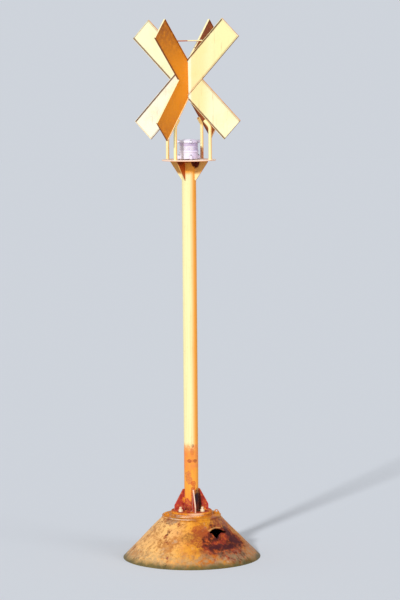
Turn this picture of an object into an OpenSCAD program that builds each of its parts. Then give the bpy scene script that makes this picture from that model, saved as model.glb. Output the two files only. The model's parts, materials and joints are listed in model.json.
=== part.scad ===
// Steel light buoy with a conical float, a tube mast, a lantern and a cross topmark.
// The origin is on the mast axis at the waterline, +Z is up, sizes are in millimetres.

/* [Float] */
// Height of the deck above the waterline
deck_z = 420; // [380:5:500]
// Radius of the deck plate
deck_r = 290; // [270:5:340]
// Thickness of the deck plate
deck_t = 12; // [8:1:20]
// How far the deck plate stands out over the cone
deck_lip = 6; // [3:1:12]
// Radius of the float at the waterline
waterline_r = 680; // [600:10:740]
// Radius of the float's upright side
hull_r = 790; // [750:1:950]
// Height of the upright side
side_h = 430; // [300:10:500]
// Height of the bottom cone
bottom_h = 480; // [380:10:600]
// Thickness of the float's plating
plating_t = 8; // [6:1:12]
// Radius of the half-round rubbing bars
rubbing_bar_r = 24; // [16:1:32]
// Number of rubbing bars
rubbing_bars = 2; // [1:1:3]
// Tear in the cone: direction of its middle, in degrees
tear_angle = -60; // [-90:5:90]

/* [Tail] */
// Outer radius of the tail tube
tail_r = 110; // [100:1:137]
// Wall of the tail tube
tail_wall = 12; // [8:1:16]
// Depth of the tail tube's lower end below the waterline
tail_depth = 2600; // [2200:20:3000]
// Thickness of the brackets under the float
bracket_t = 14; // [10:1:20]
// Height of those brackets
bracket_h = 420; // [300:10:500]
// Reach of those brackets from the tail tube
bracket_w = 150; // [100:5:200]
// Outer radius of the ballast rings
ballast_r = 260; // [220:5:320]
// Thickness of one ballast ring
ballast_h = 105; // [80:5:130]
// Number of ballast rings
ballast_n = 4; // [2:1:4]
// Radius of the rods that hold the ballast
tie_rod_r = 12; // [10:1:16]

/* [Mooring] */
// Thickness of the mooring eye plate
eye_t = 40; // [30:2:50]
// Radius of the hole in the mooring eye
eye_hole_r = 24; // [22:1:26]
// Radius of the eye plate's round end
eye_r = 60; // [52:2:70]
// Drop from the tail's end plate to the hole
eye_drop = 110; // [90:5:140]
// Radius of the shackle's pin
pin_r = 21; // [18:0.5:21.5]
// Radius of the shackle's bar
bow_bar_r = 17; // [14:1:19]
// Radius of the bow, to the middle of the bar
bow_r = 72; // [66:2:90]
// Lean of the shackle's legs, in degrees
bow_lean = 10; // [8:1:14]

/* [Mast] */
// Outer radius of the mast tube
mast_r = 69.85; // [60:0.05:84]
// Wall of the mast tube
mast_wall = 6.3; // [4:0.1:10]
// Height of the lantern platform above the waterline
platform_z = 3926; // [3300:1:4720]
// Radius of the two foot flanges
flange_r = 200; // [190:5:230]
// Thickness of each foot flange
flange_t = 20; // [16:1:28]
// Thickness of the gasket between them
gasket_t = 3; // [2:0.5:6]
// Radius of the bolt circle
foot_bolt_circle_r = 151; // [140:1:165]
// Radius of the bolt holes
foot_bolt_hole_r = 13; // [9:0.5:14]
// Direction of the first bolt, in degrees
foot_bolt_angle = 32; // [25:1:65]
// Height of the foot gussets
foot_gusset_h = 215; // [160:5:280]
// Thickness of the foot gussets
foot_gusset_t = 12; // [8:1:16]

/* [Lantern platform] */
// Radius of the platform
platform_r = 263; // [250:1:320]
// Thickness of the platform
platform_t = 10; // [6:1:16]
// Height of the gussets under it
platform_gusset_h = 190; // [140:5:240]
// Reach of those gussets from the mast axis
platform_gusset_r = 215; // [180:5:240]
// Thickness of those gussets
platform_gusset_t = 8; // [6:1:12]

/* [Lantern] */
// Radius of the lens
lens_r = 92; // [80:1:110]
// Wall of the lens
lens_wall = 6; // [4:1:10]
// Height of the lens
lens_h = 76; // [70:2:120]
// Height of the housing under the lens
housing_h = 82; // [60:2:100]
// How far the cap stands out over the lens
cap_out = 6; // [4:1:12]
// Thickness of the cap's flange
cap_t = 20; // [12:1:26]
// How far the lugs of the housing and the cap stand out over the lens
lug_out = 22; // [18:1:30]
// Height of the feet
lantern_foot_h = 8; // [6:1:20]

/* [Topmark] */
// Height of the crosses' middle above the platform
cross_z = 778; // [740:2:860]
// Length of a cross's strip
strip_len = 1396; // [1200:2:1600]
// Width of a cross's strip
strip_w = 250; // [220:2:300]
// Thickness of a strip
strip_t = 4; // [3:0.5:8]
// Width of the edging bars, across the strip's thickness
edging_w = 20; // [14:1:30]
// Thickness of the edging bars
edging_t = 4; // [3:0.5:8]
// Height of the tie rods above the crosses' middle
tie_z = 372; // [330:2:450]
// Radius of the tie rods
tie_r = 6; // [5:0.5:10]
// Turn of the first cross away from the posts' diagonal, in degrees
cross_turn = 3.5; // [0:0.5:4]
// Slide of the first cross along its own plane
cross_slide = 22; // [0:1:24]
// Lean of the whole topmark, in degrees
topmark_lean = 0.75; // [0:0.25:1]
// Direction towards which it leans, in degrees
lean_towards = 167; // [150:1:180]

/* [Posts] */
// Distance of the posts from the mast axis
post_at = 244; // [232:1:246]
// Outer radius of the posts
post_r = 16; // [12:0.5:17]
// Wall of the posts
post_wall = 3; // [2:0.5:5]
// Bend radius of the posts
post_bend_r = 55; // [40:1:80]
// Length of the straight end above the bend
post_end = 62; // [40:1:80]
// How much thicker the welded-on straight end is than the pipe
post_sleeve = 0.5; // [0.2:0.1:2]

/* [Hidden] */
$fn = 96;
rod_fn = 32;
seat = 0.3;
over = 1;
quarter = 90;
diagonal = 45;
root2 = sqrt(2);
hex = 6;

// Float
cone_top_z = deck_z - deck_t;
cone_top_r = deck_r - deck_lip;
cone_run = (waterline_r - cone_top_r) / cone_top_z;
side_top_z = -(hull_r - waterline_r) / cone_run;
side_bottom_z = side_top_z - side_h;
bottom_z = side_bottom_z - bottom_h;
bottom_ledge = 30;
bottom_r = tail_r + bottom_ledge;
bottom_run = (hull_r - bottom_r) / bottom_h;
bottom_dz = plating_t * sqrt(1 + bottom_run * bottom_run) / bottom_run;
plating_dr = plating_t * sqrt(1 + cone_run * cone_run);
cone_slope = atan(1 / cone_run);
bottom_lap = plating_t * 1.4;
tear_cut_h = 120;

// The tear's outline on the cone: across, then down from the deck's edge
tear_outline = [
    [-104, -129], [-63, -113], [-10, -108], [32, -113], [112, -154],
    [71, -181], [20, -172], [-22, -189], [-70, -229], [-89, -179]
];

// Tail
tail_top_z = cone_top_z;
end_plate_t = 20;
end_plate_z = -tail_depth - end_plate_t;
ballast_plate_t = 25;
ballast_plate_w = 90;
ballast_plate_r = tail_r + ballast_plate_w;
ballast_plate_up = 60;
ballast_plate_z = -tail_depth + ballast_plate_up;
ballast_z = ballast_plate_z + ballast_plate_t;
ballast_top_z = ballast_z + ballast_n * ballast_h;
tie_rod_out = 4;
tie_rod_circle_r = (tail_r + ballast_plate_r) / 2 + tie_rod_out;
tie_rod_nut_h = 20;
tie_rod_end = 12;
rod_hole_gap = 1;
ring_gap = 2;
bevel = 8;

// Mooring
eye_z = end_plate_z - eye_drop;
pin_z = eye_z - (eye_hole_r - pin_r - seat);
jaw_gap = 9;
ear_t = 44;
ear_r = 40;
ear_in = eye_t / 2 + jaw_gap;
ear_out = ear_in + ear_t;
leg_y = ear_in + bow_bar_r + 1;
leg_len = (bow_r * cos(bow_lean) - leg_y) / sin(bow_lean);
bow_drop = leg_len * cos(bow_lean) + bow_r * sin(bow_lean);
pin_head_t = 16;
pin_head_r = 34;
pin_nut_h = 22;
pin_end = 8;
eye_flare = 15;

// Mast
hull_flange_z = deck_z;
mast_flange_z = deck_z + flange_t + gasket_t;
mast_z = mast_flange_z + flange_t;
mast_top_z = platform_z - platform_t;
gasket_in = 8;

// Lantern
lantern_z = platform_z + lantern_foot_h;
lens_z = lantern_z + housing_h;
cap_z = lens_z + lens_h;

// Topmark
cross_mid_z = platform_z + cross_z;
half_len = strip_len / 2;
plate_w = strip_w - 2 * edging_t;
near_clear = strip_t / 2 * (1 + sin(cross_turn)) + seat;
edge_cross_z = strip_w / root2;
edging_cut = 14;
edging_gap = 6;
rod_gap = tie_r * sin(cross_turn) + seat;

// Lantern
foot_r = 11;
cap_r = lens_r + cap_out;
lug_reach = lens_r + lug_out;
collar_r = lens_r + 3;
collar_h = 20;
lantern_lug_r = 15;
lantern_lug_h = 32;
dome_h = 12;
cap_rim_w = 14;
dome_slope_w = 36;
lamp_r = 40;
lamp_h = 30;
lamp_neck_r = 14;
lamp_neck_h = 32;

// Posts
post_line_drop = (strip_w / 2 + post_r + post_sleeve + seat) * root2;
post_end_r = post_at - post_bend_r * (1 - cos(diagonal)) - post_end * sin(diagonal);
post_bend_z = round(cross_mid_z - post_at + post_bend_r * (1 - cos(diagonal))
    - post_bend_r * sin(diagonal) - post_line_drop);
sleeve_grip = 2;
// How much higher the slid first cross lets each post reach, and how much each is cut back to meet its bar
post_slide_up = [0, cross_slide, 0, -cross_slide];
post_trim = [0.5, 1, 1, -1];

function post_angle(i) = diagonal + (i - 1) * quarter;
// The leaning topmark stands higher over the posts that it leans away from
function post_lean_up(i) =
    -sin(topmark_lean) * cos(post_angle(i) - lean_towards) * (post_end_r + post_end_r + edge_cross_z);
function bend_z(i) = round(2 * (post_bend_z + post_lean_up(i) + post_slide_up[i - 1] - post_trim[i - 1])) / 2;

steel_yellow = [0.93, 0.66, 0.16];
rust_red = [0.55, 0.18, 0.10];
cast_grey = [0.30, 0.28, 0.26];
underwater_red = [0.45, 0.20, 0.16];
clear_white = [0.85, 0.85, 0.93];

// A ring with a square section, standing on z
module ring(outer_r, inner_r, z, h) {
    translate([0, 0, z])
        difference() {
            cylinder(r = outer_r, h = h);
            translate([0, 0, -over])
                cylinder(r = inner_r, h = h + 2 * over);
        }
}

// A plate in a vertical plane through the axis: x runs outwards, y of the outline runs up
module upright_plate(t) {
    rotate([quarter, 0, 0])
        translate([0, 0, -t / 2])
            linear_extrude(height = t)
                children();
}

// Four copies around the axis
module four_times(first_angle) {
    for (a = [0:3])
        rotate([0, 0, first_angle + a * quarter])
            children();
}

module hull_cone() {
    color(steel_yellow)
        difference() {
            rotate_extrude()
                polygon([
                    [cone_top_r, cone_top_z],
                    [hull_r, side_top_z],
                    [hull_r - plating_dr, side_top_z],
                    [cone_top_r - plating_dr, cone_top_z]
                ]);
            rotate([0, 0, tear_angle])
                translate([cone_top_r, 0, cone_top_z])
                    rotate([0, cone_slope, 0])
                        rotate([0, 0, quarter])
                            translate([0, 0, -tear_cut_h / 2])
                                linear_extrude(height = tear_cut_h)
                                    polygon(tear_outline);
        }
}

module hull_side() {
    color(underwater_red)
        ring(hull_r, hull_r - plating_t, side_bottom_z, side_h);
}

module hull_bottom() {
    color(underwater_red)
        rotate_extrude()
            polygon([
                [hull_r, side_bottom_z],
                [bottom_r, bottom_z],
                [tail_r + seat, bottom_z],
                [tail_r + seat, bottom_z + plating_t],
                [bottom_r - plating_t, bottom_z + bottom_dz],
                [hull_r - bottom_lap, side_bottom_z]
            ]);
}

module rubbing_bars() {
    gap = side_h / (rubbing_bars + 1);
    color(rust_red)
        for (i = [1:rubbing_bars])
            translate([0, 0, side_bottom_z + i * gap])
                rotate_extrude()
                    translate([hull_r + seat, 0])
                        intersection() {
                            circle(r = rubbing_bar_r);
                            translate([0, -rubbing_bar_r])
                                square([rubbing_bar_r, 2 * rubbing_bar_r]);
                        }
}

module deck_plate() {
    color(steel_yellow)
        translate([0, 0, cone_top_z])
            cylinder(r = deck_r, h = deck_t);
}

module lifting_lug(side) {
    lug_at = (flange_r + deck_r) / 2 + 8;
    lug_t = 12;
    lug_w = 56;
    lug_h = 30;
    lug_round_r = 22;
    lug_hole_r = 11;
    lug_hole_up = 19;
    color(steel_yellow)
        translate([side * lug_at, 0, deck_z])
            upright_plate(lug_t)
                difference() {
                    union() {
                        translate([-lug_w / 2, 0])
                            square([lug_w, lug_h / 2]);
                        translate([0, lug_h / 2])
                            circle(r = lug_round_r);
                    }
                    translate([0, lug_hole_up])
                        circle(r = lug_hole_r);
                    translate([-lug_w, -lug_w])
                        square([2 * lug_w, lug_w]);
                }
}

module tail_tube() {
    color(underwater_red)
        ring(tail_r, tail_r - tail_wall, -tail_depth, tail_depth + tail_top_z);
}

module tail_brackets() {
    top_z = bottom_z - seat;
    foot_w = 20;
    outer_r = tail_r + bracket_w;
    color(underwater_red)
        four_times(0)
            upright_plate(bracket_t)
                polygon([
                    [tail_r + seat, top_z - bracket_h],
                    [tail_r + seat + foot_w, top_z - bracket_h],
                    [outer_r, top_z + (outer_r - bottom_r) / bottom_run],
                    [bottom_r, top_z],
                    [tail_r + seat, top_z]
                ]);
}

module ballast_plate() {
    color(underwater_red)
        difference() {
            ring(ballast_plate_r, tail_r + seat, ballast_plate_z, ballast_plate_t);
            rod_holes(ballast_plate_z, ballast_plate_t);
        }
}

module ballast_keeper() {
    color(underwater_red)
        difference() {
            ring(ballast_plate_r, tail_r + seat, ballast_top_z, ballast_plate_t);
            rod_holes(ballast_top_z, ballast_plate_t);
        }
}

module rod_holes(z, h) {
    four_times(diagonal)
        translate([tie_rod_circle_r, 0, z - over])
            cylinder(r = tie_rod_r + rod_hole_gap, h = h + 2 * over);
}

module ballast_ring(i) {
    z = ballast_z + (i - 1) * ballast_h;
    color(cast_grey)
        difference() {
            rotate_extrude()
                polygon([
                    [tail_r + ring_gap, z],
                    [ballast_r - bevel, z],
                    [ballast_r, z + bevel],
                    [ballast_r, z + ballast_h - bevel],
                    [ballast_r - bevel, z + ballast_h],
                    [tail_r + ring_gap, z + ballast_h]
                ]);
            rod_holes(z, ballast_h);
        }
}

module ballast_rods() {
    nut_r = tie_rod_r * 1.75;
    low_z = ballast_plate_z - tie_rod_nut_h;
    high_z = ballast_top_z + ballast_plate_t;
    color(rust_red)
        four_times(diagonal)
            translate([tie_rod_circle_r, 0, 0]) {
                translate([0, 0, low_z - tie_rod_end])
                    cylinder(r = tie_rod_r, h = high_z - low_z + tie_rod_nut_h + 2 * tie_rod_end);
                translate([0, 0, low_z])
                    cylinder(r = nut_r, h = tie_rod_nut_h, $fn = hex);
                translate([0, 0, high_z])
                    cylinder(r = nut_r, h = tie_rod_nut_h, $fn = hex);
            }
}

module tail_end_plate() {
    color(underwater_red)
        translate([0, 0, end_plate_z])
            cylinder(r = tail_r, h = end_plate_t);
}

module mooring_eye() {
    color(underwater_red)
        translate([0, 0, eye_z])
            upright_plate(eye_t)
                difference() {
                    union() {
                        circle(r = eye_r);
                        polygon([
                            [-eye_r, 0],
                            [eye_r, 0],
                            [eye_r + eye_flare, eye_drop],
                            [-eye_r - eye_flare, eye_drop]
                        ]);
                    }
                    circle(r = eye_hole_r);
                }
}

module shackle_bow() {
    color(rust_red)
        translate([0, 0, pin_z - bow_drop])
            difference() {
                union() {
                    rotate([quarter, 0, quarter]) {
                        rotate([0, 0, 180 - bow_lean])
                            rotate_extrude(angle = 180 + 2 * bow_lean)
                                translate([bow_r, 0])
                                    circle(r = bow_bar_r);
                        for (side = [0, 1])
                            mirror([side, 0, 0])
                                rotate([0, 0, bow_lean])
                                    translate([bow_r, 0, 0])
                                        rotate([-quarter, 0, 0])
                                            cylinder(r = bow_bar_r, h = leg_len);
                    }
                    for (side = [-1, 1])
                        translate([0, side * (ear_in + ear_t / 2), bow_drop])
                            rotate([quarter, 0, 0])
                                cylinder(r = ear_r, h = ear_t, center = true);
                }
                translate([0, 0, bow_drop])
                    rotate([quarter, 0, 0])
                        cylinder(r = pin_r + seat, h = 4 * ear_out, center = true);
            }
}

module shackle_pin() {
    color(rust_red)
        translate([0, 0, pin_z])
            rotate([quarter, 0, 0]) {
                translate([0, 0, -ear_out - pin_head_t])
                    cylinder(r = pin_head_r, h = pin_head_t);
                translate([0, 0, -ear_out - pin_head_t / 2])
                    cylinder(r = pin_r, h = 2 * ear_out + pin_head_t / 2 + pin_nut_h + pin_end);
                translate([0, 0, ear_out])
                    cylinder(r = pin_head_r, h = pin_nut_h, $fn = hex);
            }
}

module foot_bolt_holes(z, h) {
    four_times(foot_bolt_angle)
        translate([foot_bolt_circle_r, 0, z - over])
            cylinder(r = foot_bolt_hole_r, h = h + 2 * over);
}

module drilled_flange(inner_r, z, h) {
    difference() {
        ring(flange_r, inner_r, z, h);
        foot_bolt_holes(z, h);
    }
}

module hull_flange() {
    color(steel_yellow)
        drilled_flange(mast_r - mast_wall, hull_flange_z, flange_t);
}

module flange_gasket() {
    color([0.15, 0.13, 0.12])
        difference() {
            ring(flange_r - gasket_in, mast_r, hull_flange_z + flange_t, gasket_t);
            foot_bolt_holes(hull_flange_z + flange_t, gasket_t);
        }
}

module mast_flange() {
    color(rust_red)
        drilled_flange(mast_r - mast_wall, mast_flange_z, flange_t);
}

module foot_gussets() {
    foot_w = 102;
    ledge = 16;
    toe = 55;
    color(rust_red)
        four_times(0)
            translate([0, 0, mast_z])
                upright_plate(foot_gusset_t)
                    polygon([
                        [mast_r + seat, 0],
                        [mast_r + foot_w, 0],
                        [mast_r + foot_w, toe],
                        [mast_r + ledge, foot_gusset_h],
                        [mast_r + seat, foot_gusset_h]
                    ]);
}

module mast_tube() {
    color(steel_yellow)
        ring(mast_r, mast_r - mast_wall, mast_z, mast_top_z - mast_z);
}

module platform_gussets() {
    toe = 12;
    color(steel_yellow)
        four_times(diagonal)
            translate([0, 0, mast_top_z])
                upright_plate(platform_gusset_t)
                    polygon([
                        [mast_r + seat, 0],
                        [platform_gusset_r, 0],
                        [platform_gusset_r, -toe],
                        [mast_r + toe, -platform_gusset_h],
                        [mast_r + seat, -platform_gusset_h]
                    ]);
}

module lantern_platform() {
    color(steel_yellow)
        translate([0, 0, mast_top_z])
            cylinder(r = platform_r, h = platform_t);
}

module lantern_feet() {
    color([0.6, 0.6, 0.62])
        four_times(0)
            translate([lug_reach - lantern_lug_r, 0, platform_z])
                cylinder(r = foot_r, h = lantern_foot_h);
}

// Four rounded lugs of the lantern, from inside its wall out to their reach
module lantern_lugs(z, h) {
    lug_at = lug_reach - lantern_lug_r;
    four_times(0)
        translate([0, 0, z]) {
            translate([lug_at, 0, 0])
                cylinder(r = lantern_lug_r, h = h);
            translate([lens_r - lantern_lug_r, -lantern_lug_r, 0])
                cube([lug_at - lens_r + lantern_lug_r, 2 * lantern_lug_r, h]);
        }
}

module lantern_base() {
    color([0.75, 0.75, 0.8])
        translate([0, 0, lantern_z]) {
            rotate_extrude()
                polygon([
                    [0, 0],
                    [lens_r, 0],
                    [lens_r, housing_h - collar_h],
                    [collar_r, housing_h - collar_h],
                    [collar_r, housing_h],
                    [0, housing_h]
                ]);
            lantern_lugs(0, lantern_lug_h);
        }
}

module lantern_lens() {
    color(clear_white, 0.6)
        ring(lens_r, lens_r - lens_wall, lens_z, lens_h);
}

module lantern_cap() {
    color([0.85, 0.85, 0.9])
        translate([0, 0, cap_z]) {
            rotate_extrude()
                polygon([
                    [0, 0],
                    [cap_r, 0],
                    [cap_r, cap_t],
                    [cap_r - cap_rim_w, cap_t],
                    [cap_r - cap_rim_w - dome_slope_w, cap_t + dome_h],
                    [0, cap_t + dome_h]
                ]);
            lantern_lugs(0, cap_t);
        }
}

module lamp_unit() {
    color([0.4, 0.4, 0.42])
        translate([0, 0, lens_z]) {
            cylinder(r = lamp_r, h = lamp_h);
            translate([0, 0, lamp_h])
                cylinder(r = lamp_neck_r, h = lamp_neck_h);
        }
}

// A post stands in its own vertical plane, about the centre of its bend: a pipe up from the platform,
// a bend inwards and a straight pipe end under the strip. The pipe is bored in its straight stretches.
module cage_post(i) {
    low = bend_z(i) - platform_z;
    bore_r = post_r - post_wall;
    color(steel_yellow)
        rotate([0, 0, post_angle(i)])
            translate([post_at - post_bend_r, 0, bend_z(i)])
                difference() {
                    union() {
                        translate([post_bend_r, 0, -low])
                            cylinder(r = post_r, h = low);
                        rotate([quarter, 0, 0])
                            rotate_extrude(angle = diagonal)
                                translate([post_bend_r, 0])
                                    circle(r = post_r);
                        rotate([0, -diagonal, 0])
                            translate([post_bend_r, 0, -sleeve_grip])
                                cylinder(r = post_r + post_sleeve, h = post_end + sleeve_grip);
                    }
                    translate([post_bend_r, 0, -low - over])
                        cylinder(r = bore_r, h = low);
                    rotate([0, -diagonal, 0])
                        translate([post_bend_r, 0, over])
                            cylinder(r = bore_r, h = post_end);
                }
}

// A strip of a cross in its vertical plane, from one distance along it to another
module strip(angle, from, to) {
    rotate([0, -angle, 0])
        translate([from, -strip_t / 2, -plate_w / 2])
            cube([to - from, strip_t, plate_w]);
}

// The two edging bars of such a strip
module edging(angle, from, to) {
    rotate([0, -angle, 0])
        for (side = [-1, 1])
            translate([from, -edging_w / 2, side * (strip_w - edging_t) / 2 - edging_t / 2])
                cube([to - from, edging_w, edging_t]);
}

// The topmark leans a little as a whole
module topmark_place() {
    translate([0, 0, cross_mid_z])
        rotate([0, 0, lean_towards])
            rotate([0, topmark_lean, 0])
                rotate([0, 0, -lean_towards])
                    children();
}

// The first cross stands in this plane, turned and slid away from the posts' diagonal
module first_plane() {
    topmark_place()
        rotate([0, 0, cross_turn - diagonal])
            translate([-cross_slide, 0, 0])
                children();
}

module second_plane(far) {
    topmark_place()
        rotate([0, 0, far ? diagonal : diagonal + 180])
            children();
}

module long_strip() {
    color(steel_yellow)
        first_plane()
            strip(diagonal, -half_len, half_len);
}

module long_edging() {
    color(steel_yellow)
        first_plane()
            edging(diagonal, -half_len, half_len);
}

module half_strip(angle) {
    color(steel_yellow)
        first_plane()
            strip(angle, strip_w / 2, half_len);
}

module half_edging(angle) {
    color(steel_yellow)
        first_plane()
            edging(angle, strip_w / 2, half_len);
}

// What the first cross takes away from a half of the second: its plate, and its edging bars above and below
module first_cross_room() {
    high = edge_cross_z - edging_t * root2 - edging_gap;
    low = cross_slide - high;
    rotate([0, 0, cross_turn]) {
        translate([-near_clear, -strip_w, low])
            cube([2 * near_clear, 2 * strip_w, high - low]);
        for (z = [low - strip_w, high])
            translate([-edging_cut, -strip_w, z])
                cube([2 * edging_cut, 2 * strip_w, strip_w]);
    }
}

module cross_panel(far) {
    notch = plate_w / root2;
    tip_far = (half_len + plate_w / 2) / root2;
    tip_near = (half_len - plate_w / 2) / root2;
    color(steel_yellow)
        second_plane(far)
            difference() {
                upright_plate(strip_t)
                    polygon([
                        [0, notch],
                        [tip_near, tip_far],
                        [tip_far, tip_near],
                        [notch, 0],
                        [tip_far, -tip_near],
                        [tip_near, -tip_far],
                        [0, -notch]
                    ]);
                first_cross_room();
            }
}

module cross_edging(far) {
    color(steel_yellow)
        second_plane(far)
            difference() {
                for (up = [-1, 1])
                    intersection() {
                        edging(up * diagonal, -strip_w, half_len);
                        translate([0, -strip_w / 2, up > 0 ? 0 : -strip_len])
                            cube([strip_len, strip_w, strip_len]);
                    }
                first_cross_room();
            }
}

module tie_rod_long() {
    reach = tie_z - edge_cross_z - tie_r - seat;
    color(steel_yellow)
        first_plane()
            translate([-reach, 0, tie_z])
                rotate([0, quarter, 0])
                    cylinder(r = tie_r, h = 2 * reach, $fn = rod_fn);
}

module tie_rods_short() {
    reach = tie_z - edge_cross_z - tie_r - seat;
    color(steel_yellow)
        for (far = [true, false])
            second_plane(far)
                translate([tie_r + rod_gap, 0, tie_z])
                    rotate([0, quarter, 0])
                        cylinder(r = tie_r, h = reach - tie_r - rod_gap, $fn = rod_fn);
}

hull_cone();
hull_side();
hull_bottom();
rubbing_bars();
deck_plate();
lifting_lug(1);  // lifting_lug_1
lifting_lug(-1);  // lifting_lug_2
tail_tube();
tail_brackets();
ballast_plate();
ballast_keeper();
for (i = [1:ballast_n])
    ballast_ring(i);
ballast_rods();
tail_end_plate();
mooring_eye();
shackle_bow();
shackle_pin();
hull_flange();
flange_gasket();
mast_flange();
foot_gussets();
mast_tube();
platform_gussets();
lantern_platform();
lantern_feet();
lantern_base();
lantern_lens();
lantern_cap();
lamp_unit();
for (i = [1:4])
    cage_post(i);
long_strip();
half_strip(135);  // upper_half_strip
half_strip(-45);  // lower_half_strip
cross_panel(false);  // near_cross_panel
cross_panel(true);  // far_cross_panel
long_edging();
half_edging(135);  // upper_edging
half_edging(-45);  // lower_edging
cross_edging(false);  // near_edging
cross_edging(true);  // far_edging
tie_rod_long();
tie_rods_short();
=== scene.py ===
"""Looks of the steel light buoy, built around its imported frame.

Lengths are in metres, +Z is up and z = 0 is the water surface, as in the frame. A colour of three numbers
is (red, green, blue) as the eye reads it on a screen, 0 to 255.
"""
import json
import math
import random

import bmesh
import bpy
from mathutils import Matrix, Vector, noise
from mathutils.geometry import delaunay_2d_cdt

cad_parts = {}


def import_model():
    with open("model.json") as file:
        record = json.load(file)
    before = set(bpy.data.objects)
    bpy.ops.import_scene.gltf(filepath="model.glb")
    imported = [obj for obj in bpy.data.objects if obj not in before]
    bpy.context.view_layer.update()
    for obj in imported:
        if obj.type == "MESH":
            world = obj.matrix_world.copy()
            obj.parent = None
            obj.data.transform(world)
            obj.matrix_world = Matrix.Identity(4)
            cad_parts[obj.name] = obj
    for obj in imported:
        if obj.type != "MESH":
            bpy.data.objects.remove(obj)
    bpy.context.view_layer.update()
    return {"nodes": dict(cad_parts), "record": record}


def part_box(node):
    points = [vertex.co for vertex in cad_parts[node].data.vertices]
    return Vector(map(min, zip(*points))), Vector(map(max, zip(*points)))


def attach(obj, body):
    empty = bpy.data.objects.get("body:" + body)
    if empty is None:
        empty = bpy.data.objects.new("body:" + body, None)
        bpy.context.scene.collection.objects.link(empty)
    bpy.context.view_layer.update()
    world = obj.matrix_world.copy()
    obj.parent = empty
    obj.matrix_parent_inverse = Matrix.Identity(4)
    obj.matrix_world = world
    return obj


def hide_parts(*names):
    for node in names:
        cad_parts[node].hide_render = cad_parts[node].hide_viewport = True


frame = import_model()

# Sizes taken from the frame
DECK_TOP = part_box("deck_plate")[1].z
DECK_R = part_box("deck_plate")[1].x
CONE_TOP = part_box("hull_cone")[1].z
CONE_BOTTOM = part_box("hull_cone")[0].z
HULL_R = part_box("hull_side")[1].x
SIDE_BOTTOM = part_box("hull_side")[0].z
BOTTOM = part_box("hull_bottom")[0].z
MAST_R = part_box("mast_tube")[1].x
MAST_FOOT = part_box("mast_tube")[0].z
FLANGE_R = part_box("mast_flange")[1].x
PLATFORM_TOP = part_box("lantern_platform")[1].z
LENS_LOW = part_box("lantern_lens")[0].z
LENS_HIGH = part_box("lantern_lens")[1].z
LENS_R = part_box("lantern_lens")[1].x
LANTERN_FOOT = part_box("lantern_base")[0].z
LUG_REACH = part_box("lantern_cap")[1].x
LAMP_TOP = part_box("lamp_unit")[1].z
TAIL_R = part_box("tail_tube")[1].x
TAIL_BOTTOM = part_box("tail_end_plate")[0].z
BALLAST_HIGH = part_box("ballast_keeper")[1].z
PIN_Z = (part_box("shackle_pin")[0].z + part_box("shackle_pin")[1].z) / 2
PIN_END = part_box("shackle_pin")[0].y

# Sizes that the construction shares with these looks
DECK_LIP = 0.006
PLATING = 0.008
CONE_TOP_R = DECK_R - DECK_LIP
CONE_RUN = (HULL_R - CONE_TOP_R) / (CONE_TOP - CONE_BOTTOM)
WATERLINE_R = CONE_TOP_R + CONE_TOP * CONE_RUN
CONE_SIN = CONE_RUN / math.hypot(1, CONE_RUN)
CONE_COS = 1 / math.hypot(1, CONE_RUN)
CONE_SLANT = (HULL_R - CONE_TOP_R) / CONE_SIN
TEAR_ANGLE = math.radians(-60)
BOTTOM_R = TAIL_R + 0.03
GUSSET_T = 0.012
GUSSET_FOOT = 0.102
GUSSET_H = 0.215
STUD_CIRCLE_R = 0.151
FIRST_STUD = 32
PLATFORM_T = 0.01
PLATFORM_GUSSET_T = 0.008
PLATFORM_GUSSET_R = 0.215
PLATFORM_GUSSET_H = 0.19
POST_AT = 0.244
POST_R = 0.016
LUG_AT = 0.253
LUG_LONG = 0.056
LUG_T = 0.012
LANTERN_LUG_R = 0.015
LANTERN_LUG_H = 0.032
CAP_T = 0.02
BRACKET_T = 0.014
BRACKET_H = 0.42
BRACKET_REACH = 0.26

# How the topmark stands
CROSS_UP = 0.778
STRIP_LEN = 1.396
STRIP_W = 0.25
STRIP_T = 0.004
EDGING_T = 0.004
CROSS_TURN = 3.5
CROSS_SLIDE = 0.022
LEAN = 0.75
LEAN_TOWARDS = 167

# Small hardware
WASHER_T = 0.004
WASHER_R = 0.0225
NUT_R = 0.0208
NUT_H = 0.024
STUD_R = 0.012
STUD_LOW = 0.022
STUD_HIGH = 0.05
STUD_PITCH = 0.003
SMALL_NUT_R = 0.0075
SMALL_NUT_H = 0.0055
SMALL_CHAMFER = 0.001
SMALL_WASHER_R = 0.0095
SMALL_WASHER_T = 0.0012
SMALL_STUD_R = 0.004
SMALL_PITCH = 0.00125
UNDER_CAP = 0.0065
BAND_T = 0.0014
BAND_H = 0.012
BAND_BOLT_AT = -62

# The photograph's camera
CAMERA_AZIMUTH = math.radians(-13)
CAMERA_DISTANCE = 24
CAMERA_HEIGHT = 4.974
CAMERA_PITCH = math.radians(-5.77)
CAMERA_ROLL = math.radians(0.44)
PHOTO_HEIGHT = 600
PHOTO_CENTRE_X = 200
AXIS_X = 189.9
FOCAL_PIXELS = 2461
SENSOR = 24
FLOOR_R = 90

# Light: its directions and strengths, and the pale colour behind the object, as linear values
KEY_FROM = Vector((-0.561, -0.692, 0.454)).normalized()
KEY = 2.05
# The direction whose lit side the paint is painted pale on: painted light, close to the key light's
# direction
PAINTED_LIGHT_FROM = Vector((-0.816, -0.38, 0.435)).normalized()
FILL_FROM = Vector((0.62, -0.72, 0.32)).normalized()
FILL = 0.7
AMBIENT = 0.5
BACKDROP = (0.62, 0.655, 0.71, 1)
FLOOR_BOUNCE = (0.72, 0.68, 0.62, 1)
FLOOR_LIGHT = AMBIENT + (KEY * KEY_FROM.z + FILL * FILL_FROM.z) / math.pi
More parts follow.
